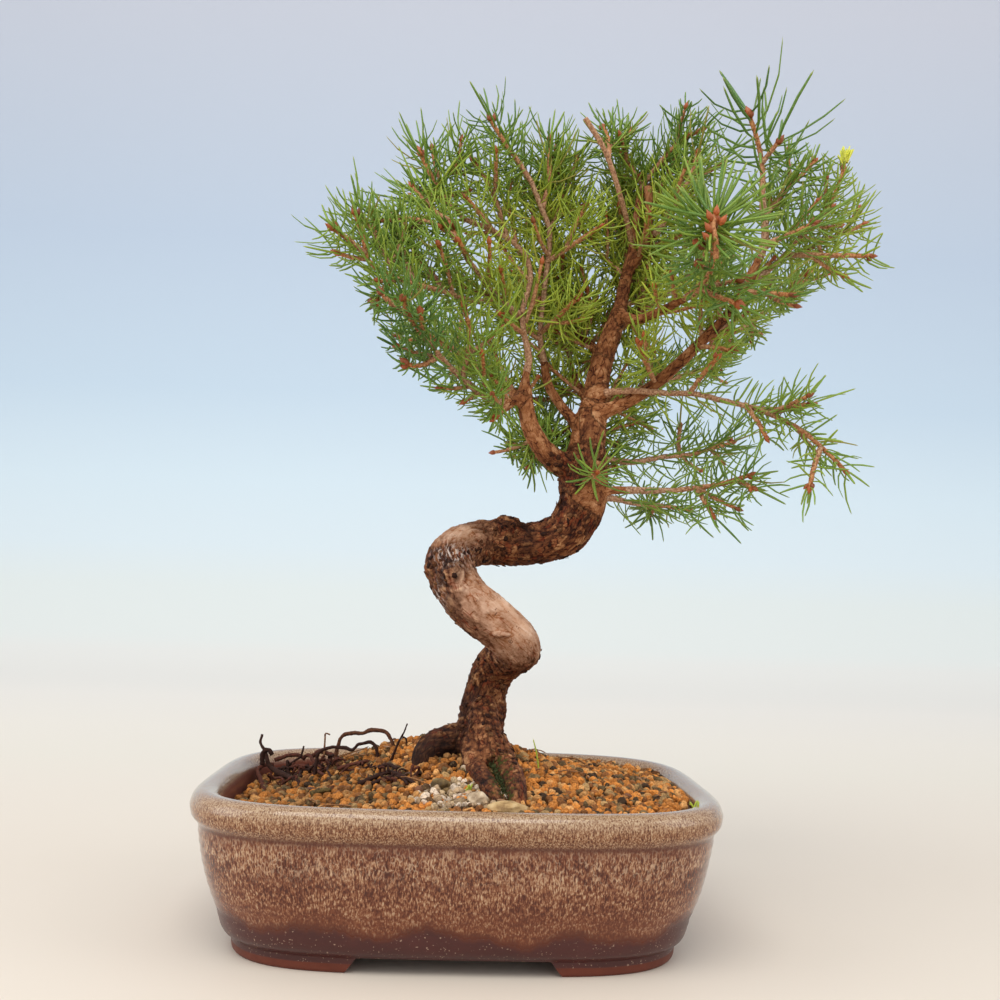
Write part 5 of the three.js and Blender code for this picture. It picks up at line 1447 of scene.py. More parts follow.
def make_trunk(thick):
    trunk = merged_limbs(thick)
    mesh = trunk.data
    points = mesh_points(mesh)
    normals = mesh_normals(mesh)
    on_limbs = OnLimbs(points, thick)
    # Young bark on the thin boughs; on the trunk from 172 to 205 mm up, lighter bark that is partly painted
    # light where the crown shades it.
    young_and_lit = np.where(on_limbs.bough, ease(on_limbs.radius, 5.2, 3.0), 0.8 * ease(points[:, 2], 172, 205))
    # Smooth pale bark, partly a painted highlight on the upper sides of the bends.
    pale_and_highlight = near_places(points, PALE_AND_HIGHLIGHT_PLACES)
    pale_and_highlight = np.clip(pale_and_highlight * (1 + 0.3 * lumps(points, 5, 12)) + on_limbs.bare, 0, 1)
    shift, tone = bark_relief(points, on_limbs, pale_and_highlight, young_and_lit)
    for scar in SCARS:
        rise, lighter = scar_relief(scar, points, normals)
        shift += rise
        tone = np.clip(tone + lighter, 0, 1)
    points = points + normals * shift[:, None]
    move_points(mesh, points)
    scaly = ease(pale_and_highlight, 0.3, 0.05) * (1 - ease(young_and_lit, 0.2, 0.6)) * (on_limbs.radius > 4) * (points[:, 2] > 66)
    add_scales(points, normals, on_limbs.along, scaly)
    # Painted shade: the pale bark is browner where it faces down, low on the trunk. The flare of the roots
    # is lighter.
    pale_with_painted_shade = pale_and_highlight * (1 - 0.22 * ease(normals[:, 2], 0.1, -0.6) * ease(points[:, 2], 138, 128))
    young_and_lit = np.maximum(young_and_lit, 0.4 * near(points, (14, -14, 70), (12, 16, 8)))
    add_tints(mesh, np.stack([tone, pale_with_painted_shade, young_and_lit], axis=1))
    add_tints(mesh, bark_covers(points), "cover")
    add_tints(mesh, on_limbs.local * MM, "limb")
    mesh.polygons.foreach_set("use_smooth", np.full(len(mesh.polygons), True))
    finish_piece(trunk, "bark", "trunk")


# Shoots

def needle_look():
    """Green needles: pale where they join the twig, lighter along their edges, one hue a needle."""
    look = Look("needles", roughness=0.46, Specular_IOR_Level=0.35)
    tone, along, chance = (look.tint()[channel] for channel in ("Red", "Green", "Blue"))
    tone = look.math("ADD", tone, look.swing(chance, 0.3))
    green = look.ramp(
        tone, (0.0, (226, 226, 84)), (0.1, (182, 190, 56)), (0.3, (154, 170, 46)),
        (0.55, (124, 150, 44)), (0.8, (90, 126, 42)), (1.0, (66, 106, 44)),
    )
    dry = look.span(chance, 0.975, 0.985)
    green = look.mix(look.times(dry, 0.6), green, rgb(170, 140, 60))
    foot = look.mix(look.span(along, 0.0, 0.07), rgb(176, 142, 84), green)
    tip = look.mix(look.times(look.span(along, 0.9, 1.0), 0.45), foot, rgb(190, 180, 90))
    lines = look.times(look.span(look.noise(0.4, 2), 0.45, 0.7), 0.4)
    look.colour(look.mix(lines, tip, rgb(168, 186, 112)))
    return look.material


def twig_look():
    """Young twigs: orange-tan pegs with darker furrows between them, greyer towards the bough."""
    look = Look("twig", roughness=0.7)
    age, chance = look.tint()["Red"], look.tint()["Blue"]
    grain = look.noise(0.8, 3, 0.6)
    fresh = look.ramp(grain, (0.3, (112, 58, 28)), (0.48, (176, 106, 56)), (0.68, (212, 152, 96)))
    old = look.ramp(grain, (0.3, (104, 70, 50)), (0.48, (168, 126, 96)), (0.68, (208, 176, 146)))
    look.colour(look.mix(look.math("ADD", age, look.swing(chance, 0.3)), fresh, old))
    look.bump(grain, 0.35, 0.8)
    return look.material


def bud_look():
    look = Look("bud", roughness=0.42)
    shade, chance = look.tint()["Red"], look.tint()["Blue"]
    warm = look.mix(chance, rgb(190, 96, 40), rgb(120, 62, 32))
    look.colour(look.mix(shade, look.mix(0.6, warm, rgb(70, 32, 18)), warm))
    look.bump(look.noise(0.5, 2), 0.2, 0.5)
    return look.material


def share_inside(starts, steps):
    """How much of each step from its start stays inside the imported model's box."""
    room = (np.array(cad_bounds) - POT) / MM + np.array([[0.4], [-0.4]])
    ends = starts + steps
    over = np.maximum(ends - room[1], 0) + np.maximum(room[0] - ends, 0)
    return 1 - np.max(over / np.maximum(np.abs(steps), 1e-6), axis=1)


def add_needles(heap, roots, headings, bends, lengths, half_widths, tones, chances):
    """Curved four-sided needles that taper to a point, from one array row each."""
    count = len(roots)
    lengths = lengths * share_inside(roots, (headings + bends) * lengths[:, None])
    side = unit(np.cross(headings, bends + 1e-4))
    face = np.cross(side, headings)
    points = []
    shades = []
    for share, width in NEEDLE_RINGS:
        centre = roots + (headings * share + bends * share * share) * lengths[:, None]
        for s, f in ((1, 0), (0, 0.8), (-1, 0), (0, -0.8)):
            points.append(centre + (side * s + face * f) * (half_widths * width)[:, None])
            shades.append(np.full(count, share))
    points.append(roots + (headings + bends) * lengths[:, None])
    shades.append(np.ones(count))
    points = np.stack(points, axis=1)
    shades = np.stack(shades, axis=1)
    first = np.arange(count)[:, None, None] * points.shape[1]
    quads = (ring_faces(len(NEEDLE_RINGS), 4)[None] + first).reshape(-1, 4)
    last = (len(NEEDLE_RINGS) - 1) * 4
    k = np.arange(4)
    tips = np.stack([last + k, last + (k + 1) % 4, np.full(4, last + 4)], axis=-1)
    tips = (tips[None] + first).reshape(-1, 3)
    tones, chances = (np.broadcast_to(values[:, None], shades.shape) for values in (tones, chances))
    heap.add(points, [quads, tips], np.stack([tones, shades, chances], axis=-1).reshape(-1, 3))


def add_bud(heap, foot, heading, length, radius, chance):
    """An egg-shaped bud under overlapping scales."""
    rings = 9
    sides = 10
    share = np.linspace(0, 1, rings)
    girth = radius * np.sin(np.pi * np.clip(share, 0.06, 0.97) ** 0.8)
    angle = round_angles(sides)
    scales = np.abs(np.sin(share[:, None] * 11 + np.round(angle[None] * 3 / math.pi) * 1.6))
    path = foot + heading * (share * length)[:, None]
    points, faces = tube(path, girth[:, None] * (0.86 + 0.22 * scales), sides)
    shade = np.concatenate([scales.ravel(), [0, 1]])
    heap.add(points, faces, np.stack([shade, shade, np.full_like(shade, chance)], axis=-1))


def add_twig(heap, path, radii, age, random, sides=8):
    """A twig roughened by the pegs that its needles stand on."""
    pegs = 1 + 0.22 * (random.random((len(path), sides)) - 0.4)
    points, faces = tube(path, radii[:, None] * pegs, sides)
    tint = np.empty_like(points)
    tint[:, 0] = np.concatenate([np.repeat(age, sides), [age[0], age[-1]]])
    tint[:, 1] = 0
    tint[:, 2] = random.random()
    heap.add(points, faces, tint)


class Sight:
    """Knows what would hide the boughs that the crown leaves open to the front."""

    def __init__(self, limbs):
        samples = np.vstack([path for name, path in limbs if name in OPEN_BOUGHS])
        samples = samples[(samples[:, 2] > OPEN_FLOOR) & ((samples[:, 2] < OPEN_TOP) | (samples[:, 0] < 60))]
        away = samples[:, :3] - EYE
        self.distances = np.linalg.norm(away, axis=1)
        self.spreads = (samples[:, 3] + 0.3) / self.distances
        self.tree = tree_of(unit(away))

    def covers(self, points, spot, radius):
        """Whether the points stand in front of a round spot."""
        away = points - EYE
        toward = np.array(spot) - EYE
        distance = np.linalg.norm(toward)
        aside = np.linalg.norm(np.cross(unit(away), toward / distance), axis=1)
        return (aside < radius / distance) & (np.linalg.norm(away, axis=1) < distance + radius)

    def outside(self, points):
        """How many millimetres the points lie outside the crown's outline, as seen from the EYE."""
        share = (OUTLINE_Y - EYE[1]) / (points[:, 1] - EYE[1])
        x, _, z = (EYE + (points - EYE) * share[:, None]).T
        over = z - np.interp(x, *CROWN_TOP.T)
        under = np.interp(x, *CROWN_UNDERSIDE.T) - z
        beside = np.maximum(CROWN_TOP[0, 0] - x, x - CROWN_TOP[-1, 0])
        return np.maximum(np.maximum(over, under), beside)

    def hides(self, points):
        """Whether the points stand in front of an open bough."""
        away = points - EYE
        distances = np.linalg.norm(away, axis=1)
        found = [self.tree.find(direction) for direction in unit(away)]
        index = np.array([item[1] for item in found])
        gap = np.array([item[2] for item in found])
        return (gap < self.spreads[index]) & (distances < self.distances[index])


class Crown:
    """Grows needles, twigs and buds into three heaps."""

    def __init__(self, limbs):
        self.random = np.random.default_rng(7)
        self.sight = Sight(limbs)
        self.twigs = Heap()
        self.buds = Heap()

    def held_in(self, name):
        """Whether the shoot is kept inside the crown's outline."""
        return name != "leader" and not name.startswith(LOW_SPRAYS)

    def tone(self, name, points):
        if name in TONES:
            return np.full(len(points), TONES[name])
        outward = np.linalg.norm((points - CROWN_CENTRE) / CROWN_RADII, axis=1)
        return 0.24 + 0.4 * ease(outward, 0.45, 1.05)

    def shoot(self, needles, name, path, bare, thick=1.0, buds=1, vigour=1.0):
        """A twig with a bud at its tip, some beside it, and needles all round beyond its bare foot."""
        random = self.random
        if self.held_in(name):
            out_of_line = np.nonzero(self.sight.outside(path) > 1)[0]
            if len(out_of_line):
                path = path[:max(out_of_line[0], 8)]
        lengths = path_lengths(path)
        total = lengths[-1]
        bud_length = BIG_BUD_LENGTH if name in BUD_RADII else BUD_LENGTH
        share = lengths / total
        radii = (TWIG_RADIUS + (TWIG_TIP_RADIUS - TWIG_RADIUS) * share) * thick
        wood = lengths < total - bud_length * 0.7
        add_twig(self.twigs, path[wood], radii[wood], np.clip(0.75 - 0.9 * share[wood], 0, 1), random)
        along, across, up = frames_along(path)
        heading = along[-1]
        foot = path[wood][-1]
        bud_radius = BUD_RADII.get(name, BUD_RADIUS)
        add_bud(self.buds, foot - heading, heading, bud_length + 1, bud_radius, random.random() * 0.7)
        for _ in range(buds):
            turn = random.random() * ANY_TURN
            out = across[-1] * math.cos(turn) + up[-1] * math.sin(turn)
            place = foot - heading * 1.2 + out * 0.5
            chance = random.random()
            add_bud(self.buds, place, unit(heading + out * 0.7), bud_length, bud_radius * 0.85, chance)
        self.clothe(needles, name, path, bare, radii, vigour)

    def clothe(self, needles, name, path, bare, radii, vigour):
        """Needles all round a shoot, nearly square to it at its foot and leaning forward at its bud."""
        random = self.random
        lengths = path_lengths(path)
        total = lengths[-1]
        along, across, up = frames_along(path)
        spots = np.arange(bare, total - 0.8, NEEDLE_SPACING * SPARSE.get(name, 1))
        spots = spots + random.uniform(-0.25, 0.25, len(spots))
        if not len(spots):
            return
        index = np.clip(np.searchsorted(lengths, spots), 1, len(path) - 1)
        place = np.stack([np.interp(spots, lengths, path[:, k]) for k in range(3)], axis=1)
        at = spots / total
        turn = np.arange(len(spots)) * GOLDEN_ANGLE
        turn = turn + random.uniform(-0.3, 0.3, len(spots)) + random.random() * 6
        out = leaned(across[index], up[index], turn)
        lean = LEAN_AT_FOOT + (LEAN_AT_BUD - LEAN_AT_FOOT) * at ** 2.2
        lean = np.radians(lean + random.normal(0, 1, len(spots)) * (8 + 12 * at))
        headings = leaned(along[index], out, lean)
        bends = along[index] * random.uniform(0.08, 0.55, (len(spots), 1))
        bends -= out * random.uniform(0.05, 0.36, (len(spots), 1))
        bends += UP * random.uniform(-0.05, 0.25, (len(spots), 1))
        bends += random.normal(0, 0.06, (len(spots), 3))
        vigour *= VIGOUR.get(name, 1)
        reach = NEEDLE_LENGTH * vigour * random.uniform(0.78, 1.12, len(spots)) * (1 - 0.12 * at)
        reach *= 0.75 + 0.25 * ease(at, 0, 0.3)
        width = NEEDLE_HALF_WIDTH * random.uniform(0.85, 1.15, len(spots)) * STOUT.get(name, 1)
        tones = self.tone(name, place) + 0.12 * at
        roots = place + out * (np.interp(spots, lengths, radii) * 0.75)[:, None]
        self.place_needles(needles, name, roots, headings, bends, reach, width, tones)

    def place_needles(self, needles, name, roots, headings, bends, reach, width, tones):
        """Adds needles, without those that would stand in front of an open bough."""
        chances = self.random.random(len(roots))
        keep = np.ones(len(roots), bool)
        if self.held_in(name):
            over = self.sight.outside(roots + (headings + bends) * reach[:, None]) - 3 * chances
            reach = reach - np.clip(over, 0, reach * 0.6)
            keep &= self.sight.outside(roots) < 2
        for share in (0.15, 0.5, 1):
            along = roots + (headings * share + bends * share ** 2) * reach[:, None]
            if name not in FRONT_SPRAYS:
                keep &= ~self.sight.hides(along)
            keep &= ~self.sight.covers(along, FRONT_TIP + (-0.5, -2, -2), 4.2)
        rows = (roots, headings, bends, reach, width, tones, chances)
        add_needles(needles, *(values[keep] for values in rows))

    def front_buds(self):
        """The cluster of big buds at the end of the front shoot."""
        for offset in FRONT_BUDS:
            heading = unit(np.array(offset) * (0.2, 0, 0.03) + (0, -0.3, 0.75))
            foot = FRONT_TIP + offset - heading * 1.6
            chance = self.random.uniform(0, 0.4)
            add_bud(self.buds, foot, heading, FRONT_BUD_LENGTH, FRONT_BUD_RADIUS, chance)
        path = smooth_path(FRONT_TIP + FRONT_TWIG, PATH_STEP)
        add_twig(self.twigs, path, np.full(len(path), 0.95), np.full(len(path), 0.1), self.random)

    def front_whorl(self, needles):
        """Long needles that stand out all round the end of the front shoot."""
        random = self.random
        count = WHORL_NEEDLES
        axis = unit(np.array((0.05, -0.75, 0.45)))
        side = unit(np.cross(axis, (0, 0, 1)))
        turn = np.arange(count) * GOLDEN_ANGLE
        out = leaned(side, np.cross(axis, side), turn)
        lean = np.radians(random.uniform(58, 98, count))
        headings = leaned(axis, out, lean)
        roots = FRONT_TIP - axis * random.uniform(1, 9, (count, 1)) + out * 0.8
        bends = axis * random.uniform(0.0, 0.3, (count, 1))
        bends = bends + UP * random.uniform(-0.2, 0.15, (count, 1))
        reach = NEEDLE_LENGTH * random.uniform(1.05, 1.6, count)
        widths = NEEDLE_HALF_WIDTH * STOUT["front"] * random.uniform(0.9, 1.1, count)
        tones = self.tone("front", roots)
        self.place_needles(needles, "front", roots, headings, bends, reach, widths, tones)

    def candle(self):
        """A bud that has opened into a short yellow-green brush."""
        name, number = CANDLE
        path = smooth_path(SPRAYS[name][number], PATH_STEP)
        count = CANDLE_NEEDLES
        heading = unit(path[-1] - path[-4] + (0, 0, 2.5))
        headings = unit(heading + self.random.normal(0, 0.24, (count, 3)))
        roots = path[-1] + headings * 0.6 + self.random.normal(0, 0.5, (count, 3))
        straight = np.zeros((count, 3))
        lengths = self.random.uniform(3.4, 5.2, count)
        widths, tones = np.full(count, 0.32), np.full(count, -0.2)
        chances = self.random.random(count) * 0.9
        brush = Heap()
        add_needles(brush, roots, headings, straight, lengths, widths, tones, chances)
        finish_piece(brush.piece("candle", needle_look()), "needles")

    def fringe(self, needles, name, path):
        """Needles that stand straight on a thin bough."""
        random = self.random
        lengths = path_lengths(path[:, :3])
        spots = np.arange(3, lengths[-1], FRINGE_SPACING)
        if not len(spots):
            return
        along, across, up = frames_along(path[:, :3])
        index = np.clip(np.searchsorted(lengths, spots), 1, len(path) - 1)
        turn = np.arange(len(spots)) * GOLDEN_ANGLE + random.uniform(-0.4, 0.4, len(spots))
        out = leaned(across[index], up[index], turn)
        lean = np.radians(random.normal(74, 12, len(spots)))
        headings = leaned(along[index], out, lean)
        bends = along[index] * random.uniform(0.2, 0.6, (len(spots), 1))
        bends = bends - out * random.uniform(0, 0.3, (len(spots), 1))
        roots = path[index, :3] + out * path[index, 3:] * 0.75
        reach = NEEDLE_LENGTH * random.uniform(0.7, 0.95, len(spots))
        tones = self.tone(name, roots)
        widths = NEEDLE_HALF_WIDTH * random.uniform(0.85, 1.1, len(spots))
        self.place_needles(needles, name, roots, headings, bends, reach, widths, tones)

    def side_shoots(self, needles, name, path, first, last, gap, longest, thick=0.8):
        """Short shoots on both sides of a path, shorter towards its end."""
        random = self.random
        lengths = path_lengths(path)
        along, across, up = frames_along(path)
        at = first
        side = 1
        while at < lengths[-1] - last:
            k = int(np.searchsorted(lengths, at))
            turn = (0 if side > 0 else math.pi) + random.normal(0, 0.7)
            out = across[k] * math.cos(turn) + up[k] * math.sin(turn)
            length = longest * (1 - 0.5 * at / lengths[-1]) * random.uniform(0.7, 1.1)
            opening = random.uniform(0.75, 1.05)
            heading = along[k] * math.cos(opening) + out * math.sin(opening)
            reach = np.linspace(0, 1, max(4, int(length / 1.5)))[:, None]
            lift = along[k] * 0.25 + np.array((0, 0, random.uniform(0.0, 0.3)))
            branch = path[k] + (heading * reach + lift * reach ** 2) * length
            if name in FRONT_SPRAYS or not self.sight.hides(branch[2:]).any():
                self.shoot(needles, name, branch, 2.2, thick, buds=0, vigour=0.9)
            at += gap * random.uniform(0.75, 1.25)
            side = -side


def fill_inside(crown, needles, name, path):
    """Short leafy shoots along a bough, where the crown is full."""
    high = path[(path[:, 2] > CROWN_FLOOR) | (path[:, 0] < LEFT_SIDE) | (name in LEAFY_BOUGHS)]
    if len(high) > 14:
        crown.side_shoots(needles, "bough_" + name, high[:, :3], first=3, last=4, gap=5.2, longest=24)


def make_crown(thick, thin):
    crown = Crown(thick + thin)
    look = needle_look()
    for name, shoots in SPRAYS.items():
        needles = Heap()
        for number, points in enumerate(shoots):
            path = smooth_path(points, PATH_STEP)
            bare = BARE_FEET.get((name, number), BARE_FOOT + 1 if number else 5)
            buds = int(crown.random.integers(0, 3))
            crown.shoot(needles, name, path, bare, 1.0, buds)
            if path_lengths(path)[-1] > LONG_SHOOT and name != "leader":
                crown.side_shoots(needles, name, path, first=9, last=14, gap=11, longest=20)
        if name == "front":
            crown.front_whorl(needles)
        finish_piece(needles.piece("needles_" + name, look), "needles", "spray_" + name)
    crown.candle()
    crown.front_buds()
    inner = Heap()
    for points in INNER_SHOOTS:
        path = smooth_path(points, PATH_STEP)
        crown.shoot(inner, "inner", path, BARE_FOOT, 0.9)
        crown.side_shoots(inner, "inner", path, first=4, last=4, gap=7, longest=18)
    for name, path in thin:
        add_twig(crown.twigs, path[:, :3], path[:, 3], np.full(len(path), 0.85), crown.random, 10)
        if name not in BARE_BOUGHS:
            fill_inside(crown, inner, name, path)
            crown.fringe(inner, "bough_" + name, path)
    for name, path in thick:
        if name in BOUGHS and name not in BARE_BOUGHS:
            fill_inside(crown, inner, name, path[path[:, 3] < LEAFY_RADIUS])
    finish_piece(inner.piece("needles_inner", look), "needles")
    finish_piece(crown.twigs.piece("twigs", twig_look()), "bark")
    finish_piece(crown.buds.piece("buds", bud_look()), "bark")


# Soil and what lies on it

def mound_level(x, y, height, centre, reach):
    return height * np.exp(-((x - centre[0]) / reach[0]) ** 2 - ((y - centre[1]) / reach[1]) ** 2)


def soil_level(x, y):
    x = np.asarray(x, float)
    slope = SOIL_TILT * np.tanh((x + 35) / 30)
    mound = mound_level(x, y, MOUND_HEIGHT, MOUND_CENTRE, MOUND_REACH)
    back = mound_level(x, y, BACK_MOUND_HEIGHT, BACK_MOUND_CENTRE, BACK_MOUND_REACH)
    return SOIL_EDGE_Z + slope + mound + back


def grain_look(name, roughness=0.9):
    """Porous grains, each in the colour of its tint, with pits and paler dust."""
    look = Look(name, roughness=roughness, Specular_IOR_Level=0.25)
    colour = look.paint()
    pits = look.noise(0.7, 4, 0.7)
    colour = look.mix(look.span(pits, 0.56, 0.36, 0, 0.55), colour, rgb(58, 38, 24))
    colour = look.mix(look.span(pits, 0.54, 0.74, 0, 0.28), colour, rgb(240, 200, 140))
    look.colour(colour)
    look.bump(pits, 0.4, 0.9)
    return look.material


def add_grains(heap, centres, sizes, colours, level, random, rough=0.2):
    """Lumpy grains, one for each centre, each turned its own way."""
    body, faces = ball(level)
    count = len(centres)
    shapes = []
    for _ in range(GRAIN_SHAPES):
        shape = body * (1 + rough * random.uniform(-0.3, 0.3, (len(body), 1)))
        for facet in unit(random.normal(size=(GRAIN_FACETS, 3))):
            shape = shape - np.maximum(shape @ facet - random.uniform(0.6, 0.88), 0)[:, None] * facet
        shapes.append(shape)
    stretch = random.uniform(0.78, 1.22, (count, 1, 3))
    points = np.array(shapes)[random.integers(0, len(shapes), count)] * stretch
    points = np.einsum("nij,nkj->nki", turned(random, count), points)
    points = points * sizes[:, None, None] + centres[:, None]
    first = np.arange(count)[:, None, None] * len(body)
    heap.add(points, [(faces[None] + first).reshape(-1, 3)], np.repeat(colours, len(body), axis=0))


def pick_colours(random, count, choices):
    """One colour each from (share, sRGB colour) choices, a little lighter or darker."""
    shares = np.array([share for share, _ in choices])
    palette = np.array([rgb(*colour) for _, colour in choices])
    picked = palette[random.choice(len(choices), count, p=shares / shares.sum())]
    return picked * random.uniform(0.68, 1.3, (count, 1))


def make_soil_bed():
    """The dark bed that the single granules lie on."""
    look = Look("soil_bed", roughness=0.95)
    look.colour(look.mix(look.noise(2.5, 4), rgb(66, 42, 26), rgb(134, 92, 56)))
    look.bump(look.noise(1.5, 4), 0.8, 0.9)
    top_profile = [((0.02 + 0.98 * k / 44) * (POT_INNER - 0.4), 0.0) for k in range(45)]
    deep = [(POT_INNER - inward, z) for inward, z in BED_SIDE]
    deep += evenly((POT_INNER - 12, 16.5), (0.5, 16.5), 12)
    points, faces = turning(top_profile + deep)
    top = len(top_profile) * OUTLINE_POINTS
    x, y = points[:top, 0], points[:top, 1]
    points[:top, 2] = soil_level(x, y) - BED_DROP + 0.5 * lumps(points[:top], 4, 30)
    points[-2] = (0, 0, soil_level(0, 0) - BED_DROP)
    finish_piece(make_piece("soil_bed", points, faces, look.material), "soil", "soil")


def granule_centres(layer, drop, limbs, random):
    """Places on a triangular lattice, each moved a little, inside the pot and clear of the wood."""
    half_x = POT_INNER - 1.2
    half_y = half_x - (RIM_LENGTH - RIM_WIDTH) / 2
    rows = np.arange(-half_y, half_y, GRANULE_PITCH * 0.866)
    columns = np.arange(-half_x, half_x, GRANULE_PITCH)
    x, y = np.meshgrid(columns, rows)
    x = (x + (np.arange(len(rows))[:, None] + layer) % 2 * GRANULE_PITCH / 2).ravel()
    y = y.ravel() + layer * GRANULE_PITCH * 0.58
    x = x + random.uniform(-0.8, 0.8, len(x))
    y = y + random.uniform(-0.8, 0.8, len(y))
    inside = (np.abs(x) / half_x) ** SQUARENESS + (np.abs(y) / half_y) ** SQUARENESS < 0.985
    x, y = x[inside], y[inside]
    centres = np.stack([x, y, soil_level(x, y) + drop + random.uniform(-0.7, 0.6, len(x))], axis=1)
    gaps = np.linalg.norm(centres[:, None] - limbs[None, :, :3], axis=2) - limbs[None, :, 3]
    return centres[np.min(gaps, axis=1) > -0.6]


def granule_colours(centres, layer, random):
    """Painted shade on the lower layer and in the hollows by the roots, darker at the left, and dusty round
    the patch of grit.
    """
    # Painted shade: the lower layer lies under the upper one.
    colours = pick_colours(random, len(centres), GRANULE_COLOURS) * (0.4 if layer else 1)
    colours *= 1 - 0.3 * ease(centres[:, 0], -10, -50)[:, None]
    # Painted shade in the hollows by the roots.
    colours *= 1 - 0.8 * np.clip(near_places(centres, SHADY_HOLLOWS), 0, 1)[:, None]
    patch = np.sum(((centres[:, :2] - PATCH_CENTRE) / PATCH_RADII) ** 2, axis=1)
    dusty = (patch < 1.2) & (random.random(len(centres)) < 0.35)
    colours[dusty] = pick_colours(random, int(dusty.sum()), DUSTY_COLOURS)
    return colours


def make_granules():
    random = np.random.default_rng(31)
    limbs = np.vstack([smooth_path(limb, 1.0) for limb in (TRUNK[:6], *ROOTS)])
    front = Heap()
    back = Heap()
    for layer, drop in GRANULE_LAYERS:
        centres = granule_centres(layer, drop, limbs, random)
        sizes = random.uniform(*GRANULE_RADII, len(centres))
        sizes *= 1 - 0.35 * (random.random(len(centres)) < 0.3)
        colours = granule_colours(centres, layer, random)
        seen = (centres[:, 1] < FRONT_HALF_Y) & (layer == 0)
        add_grains(front, centres[seen], sizes[seen], colours[seen], 2, random)
        add_grains(back, centres[~seen], sizes[~seen], colours[~seen], 1, random)
    look = grain_look("granules")
    finish_piece(front.piece("granules_front", look, smooth=False), "soil")
    finish_piece(back.piece("granules_back", look, smooth=False), "soil")


def make_pumice():
    """White angular grit in front of the trunk."""
    random = np.random.default_rng(41)
    turn = random.random(GRIT_COUNT) * 2 * math.pi
    reach = np.sqrt(random.random(GRIT_COUNT)) * 0.98
    x = PATCH_CENTRE[0] + PATCH_RADII[0] * reach * np.cos(turn)
    y = PATCH_CENTRE[1] + PATCH_RADII[1] * reach * np.sin(turn)
    centres = np.stack([x, y, soil_level(x, y) + random.uniform(0.1, 1.5, GRIT_COUNT)], axis=1)
    sizes = random.uniform(0.5, 1.35, GRIT_COUNT) * (1 + 0.9 * (random.random(GRIT_COUNT) < 0.1))
    # A share of the grit is dark brown, painted shade between the pale grains.
    colours = pick_colours(random, GRIT_COUNT, GRIT_COLOURS_AND_SHADE)
    heap = Heap()
    add_grains(heap, centres, sizes, colours, 2, random, 0.24)
    finish_piece(heap.piece("pumice_grit", grain_look("pumice"), smooth=False), "pumice", "pumice_patch")


def stone_look(name, dark, middle, light):
    look = Look(name, roughness=0.75)
    speck = look.noise(0.6, 4, 0.7)
    veins = look.ramp(look.noise(3.5, 3), (0.35, dark), (0.5, middle), (0.68, light))
    look.colour(look.mix(look.span(speck, 0.6, 0.75), veins, rgb(*light)))
    look.bump(speck, 0.25, 0.8)
    return look.material


def make_stone(name, centre, radii, node=None):
    """A worn stone, speckled, half sunk in the soil."""
    seed = STONE_SEEDS[name]
    body, faces = ball(4)
    random = np.random.default_rng(seed)
    for facet in unit(random.normal(size=(STONE_FACETS, 3))):
        depth = np.maximum(body @ facet - random.uniform(0.72, 0.95), 0)
        body = body - depth[:, None] * facet
    uneven = 1 + 0.1 * lumps(body * 3, 2.2, seed) + 0.04 * lumps(body * 3, 0.7, seed + 1)
    points = np.array(centre) + body * uneven[:, None] * radii
    look = stone_look(name, *STONE_COLOURS[name])
    stone = make_piece(name + "_skin" if node else name, points, [faces], look)
    finish_piece(stone, "stone", *([node] if node else []))


def make_stones():
    for name in STONE_COLOURS:
        if name in LOOSE_STONES:
            make_stone(name, *LOOSE_STONES[name])
            continue
        low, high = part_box(name)
        centre = (np.array(low + high) / 2 - POT) / MM
        radii = np.array(high - low) / 2 / MM * 0.97
        make_stone(name, centre, radii, name)


def wander(start, end, sway, random, count=9, lift=0.0):
    """A crooked line between two points."""
    share = np.linspace(0, 1, count)[:, None]
    line = np.array(start) + (np.array(end) - np.array(start)) * share
    bow = np.sin(share * math.pi)
    line = line + np.array((0, 0, lift)) * bow
    return line + np.vstack([np.zeros(3), random.normal(0, sway, (count - 2, 3)), np.zeros(3)])


def add_strand(heap, stations, thick, thin, tint, random, sides=7):
    path = smooth_path(stations, 0.6)
    radii = np.linspace(thick, thin, len(path))[:, None] * random.uniform(0.85, 1.2, (len(path), sides))
    heap.add(*tube(path, radii, sides), tint)


def root_look():
    look = Look("dead_root", roughness=0.85, Specular_IOR_Level=0.2)
    grain = look.noise(0.8, 4, 0.65)
    dark = look.mix(0.7, look.paint(), rgb(40, 26, 20))
    look.colour(look.mix(look.span(grain, 0.4, 0.62), dark, look.paint()))
    look.bump(grain, 0.3, 0.8)
    return look.material


def add_tangle(heap, x, y, reach, count, random):
    """Thin dark roots that lie over each other round a place on the soil."""
    for _ in range(count):
        start = np.array((x, y, 0)) + random.uniform(-5, 5, 3) * (1, 1, 0)
        turn = random.random() * ANY_TURN
        end = start + np.array((math.cos(turn), math.sin(turn) * 0.7, 0)) * reach
        start[2] = soil_level(*start[:2]) + 0.8
        end[2] = soil_level(*end[:2]) + 1.0
        tint = rgb(*ROOT_TINTS[("black", "dark")[int(random.choice(2, p=(0.5, 0.5)))]])
        line = wander(start, end, 0.8, random, lift=random.uniform(0.3, 4))
        add_strand(heap, line, 0.55, 0.3, tint, random)


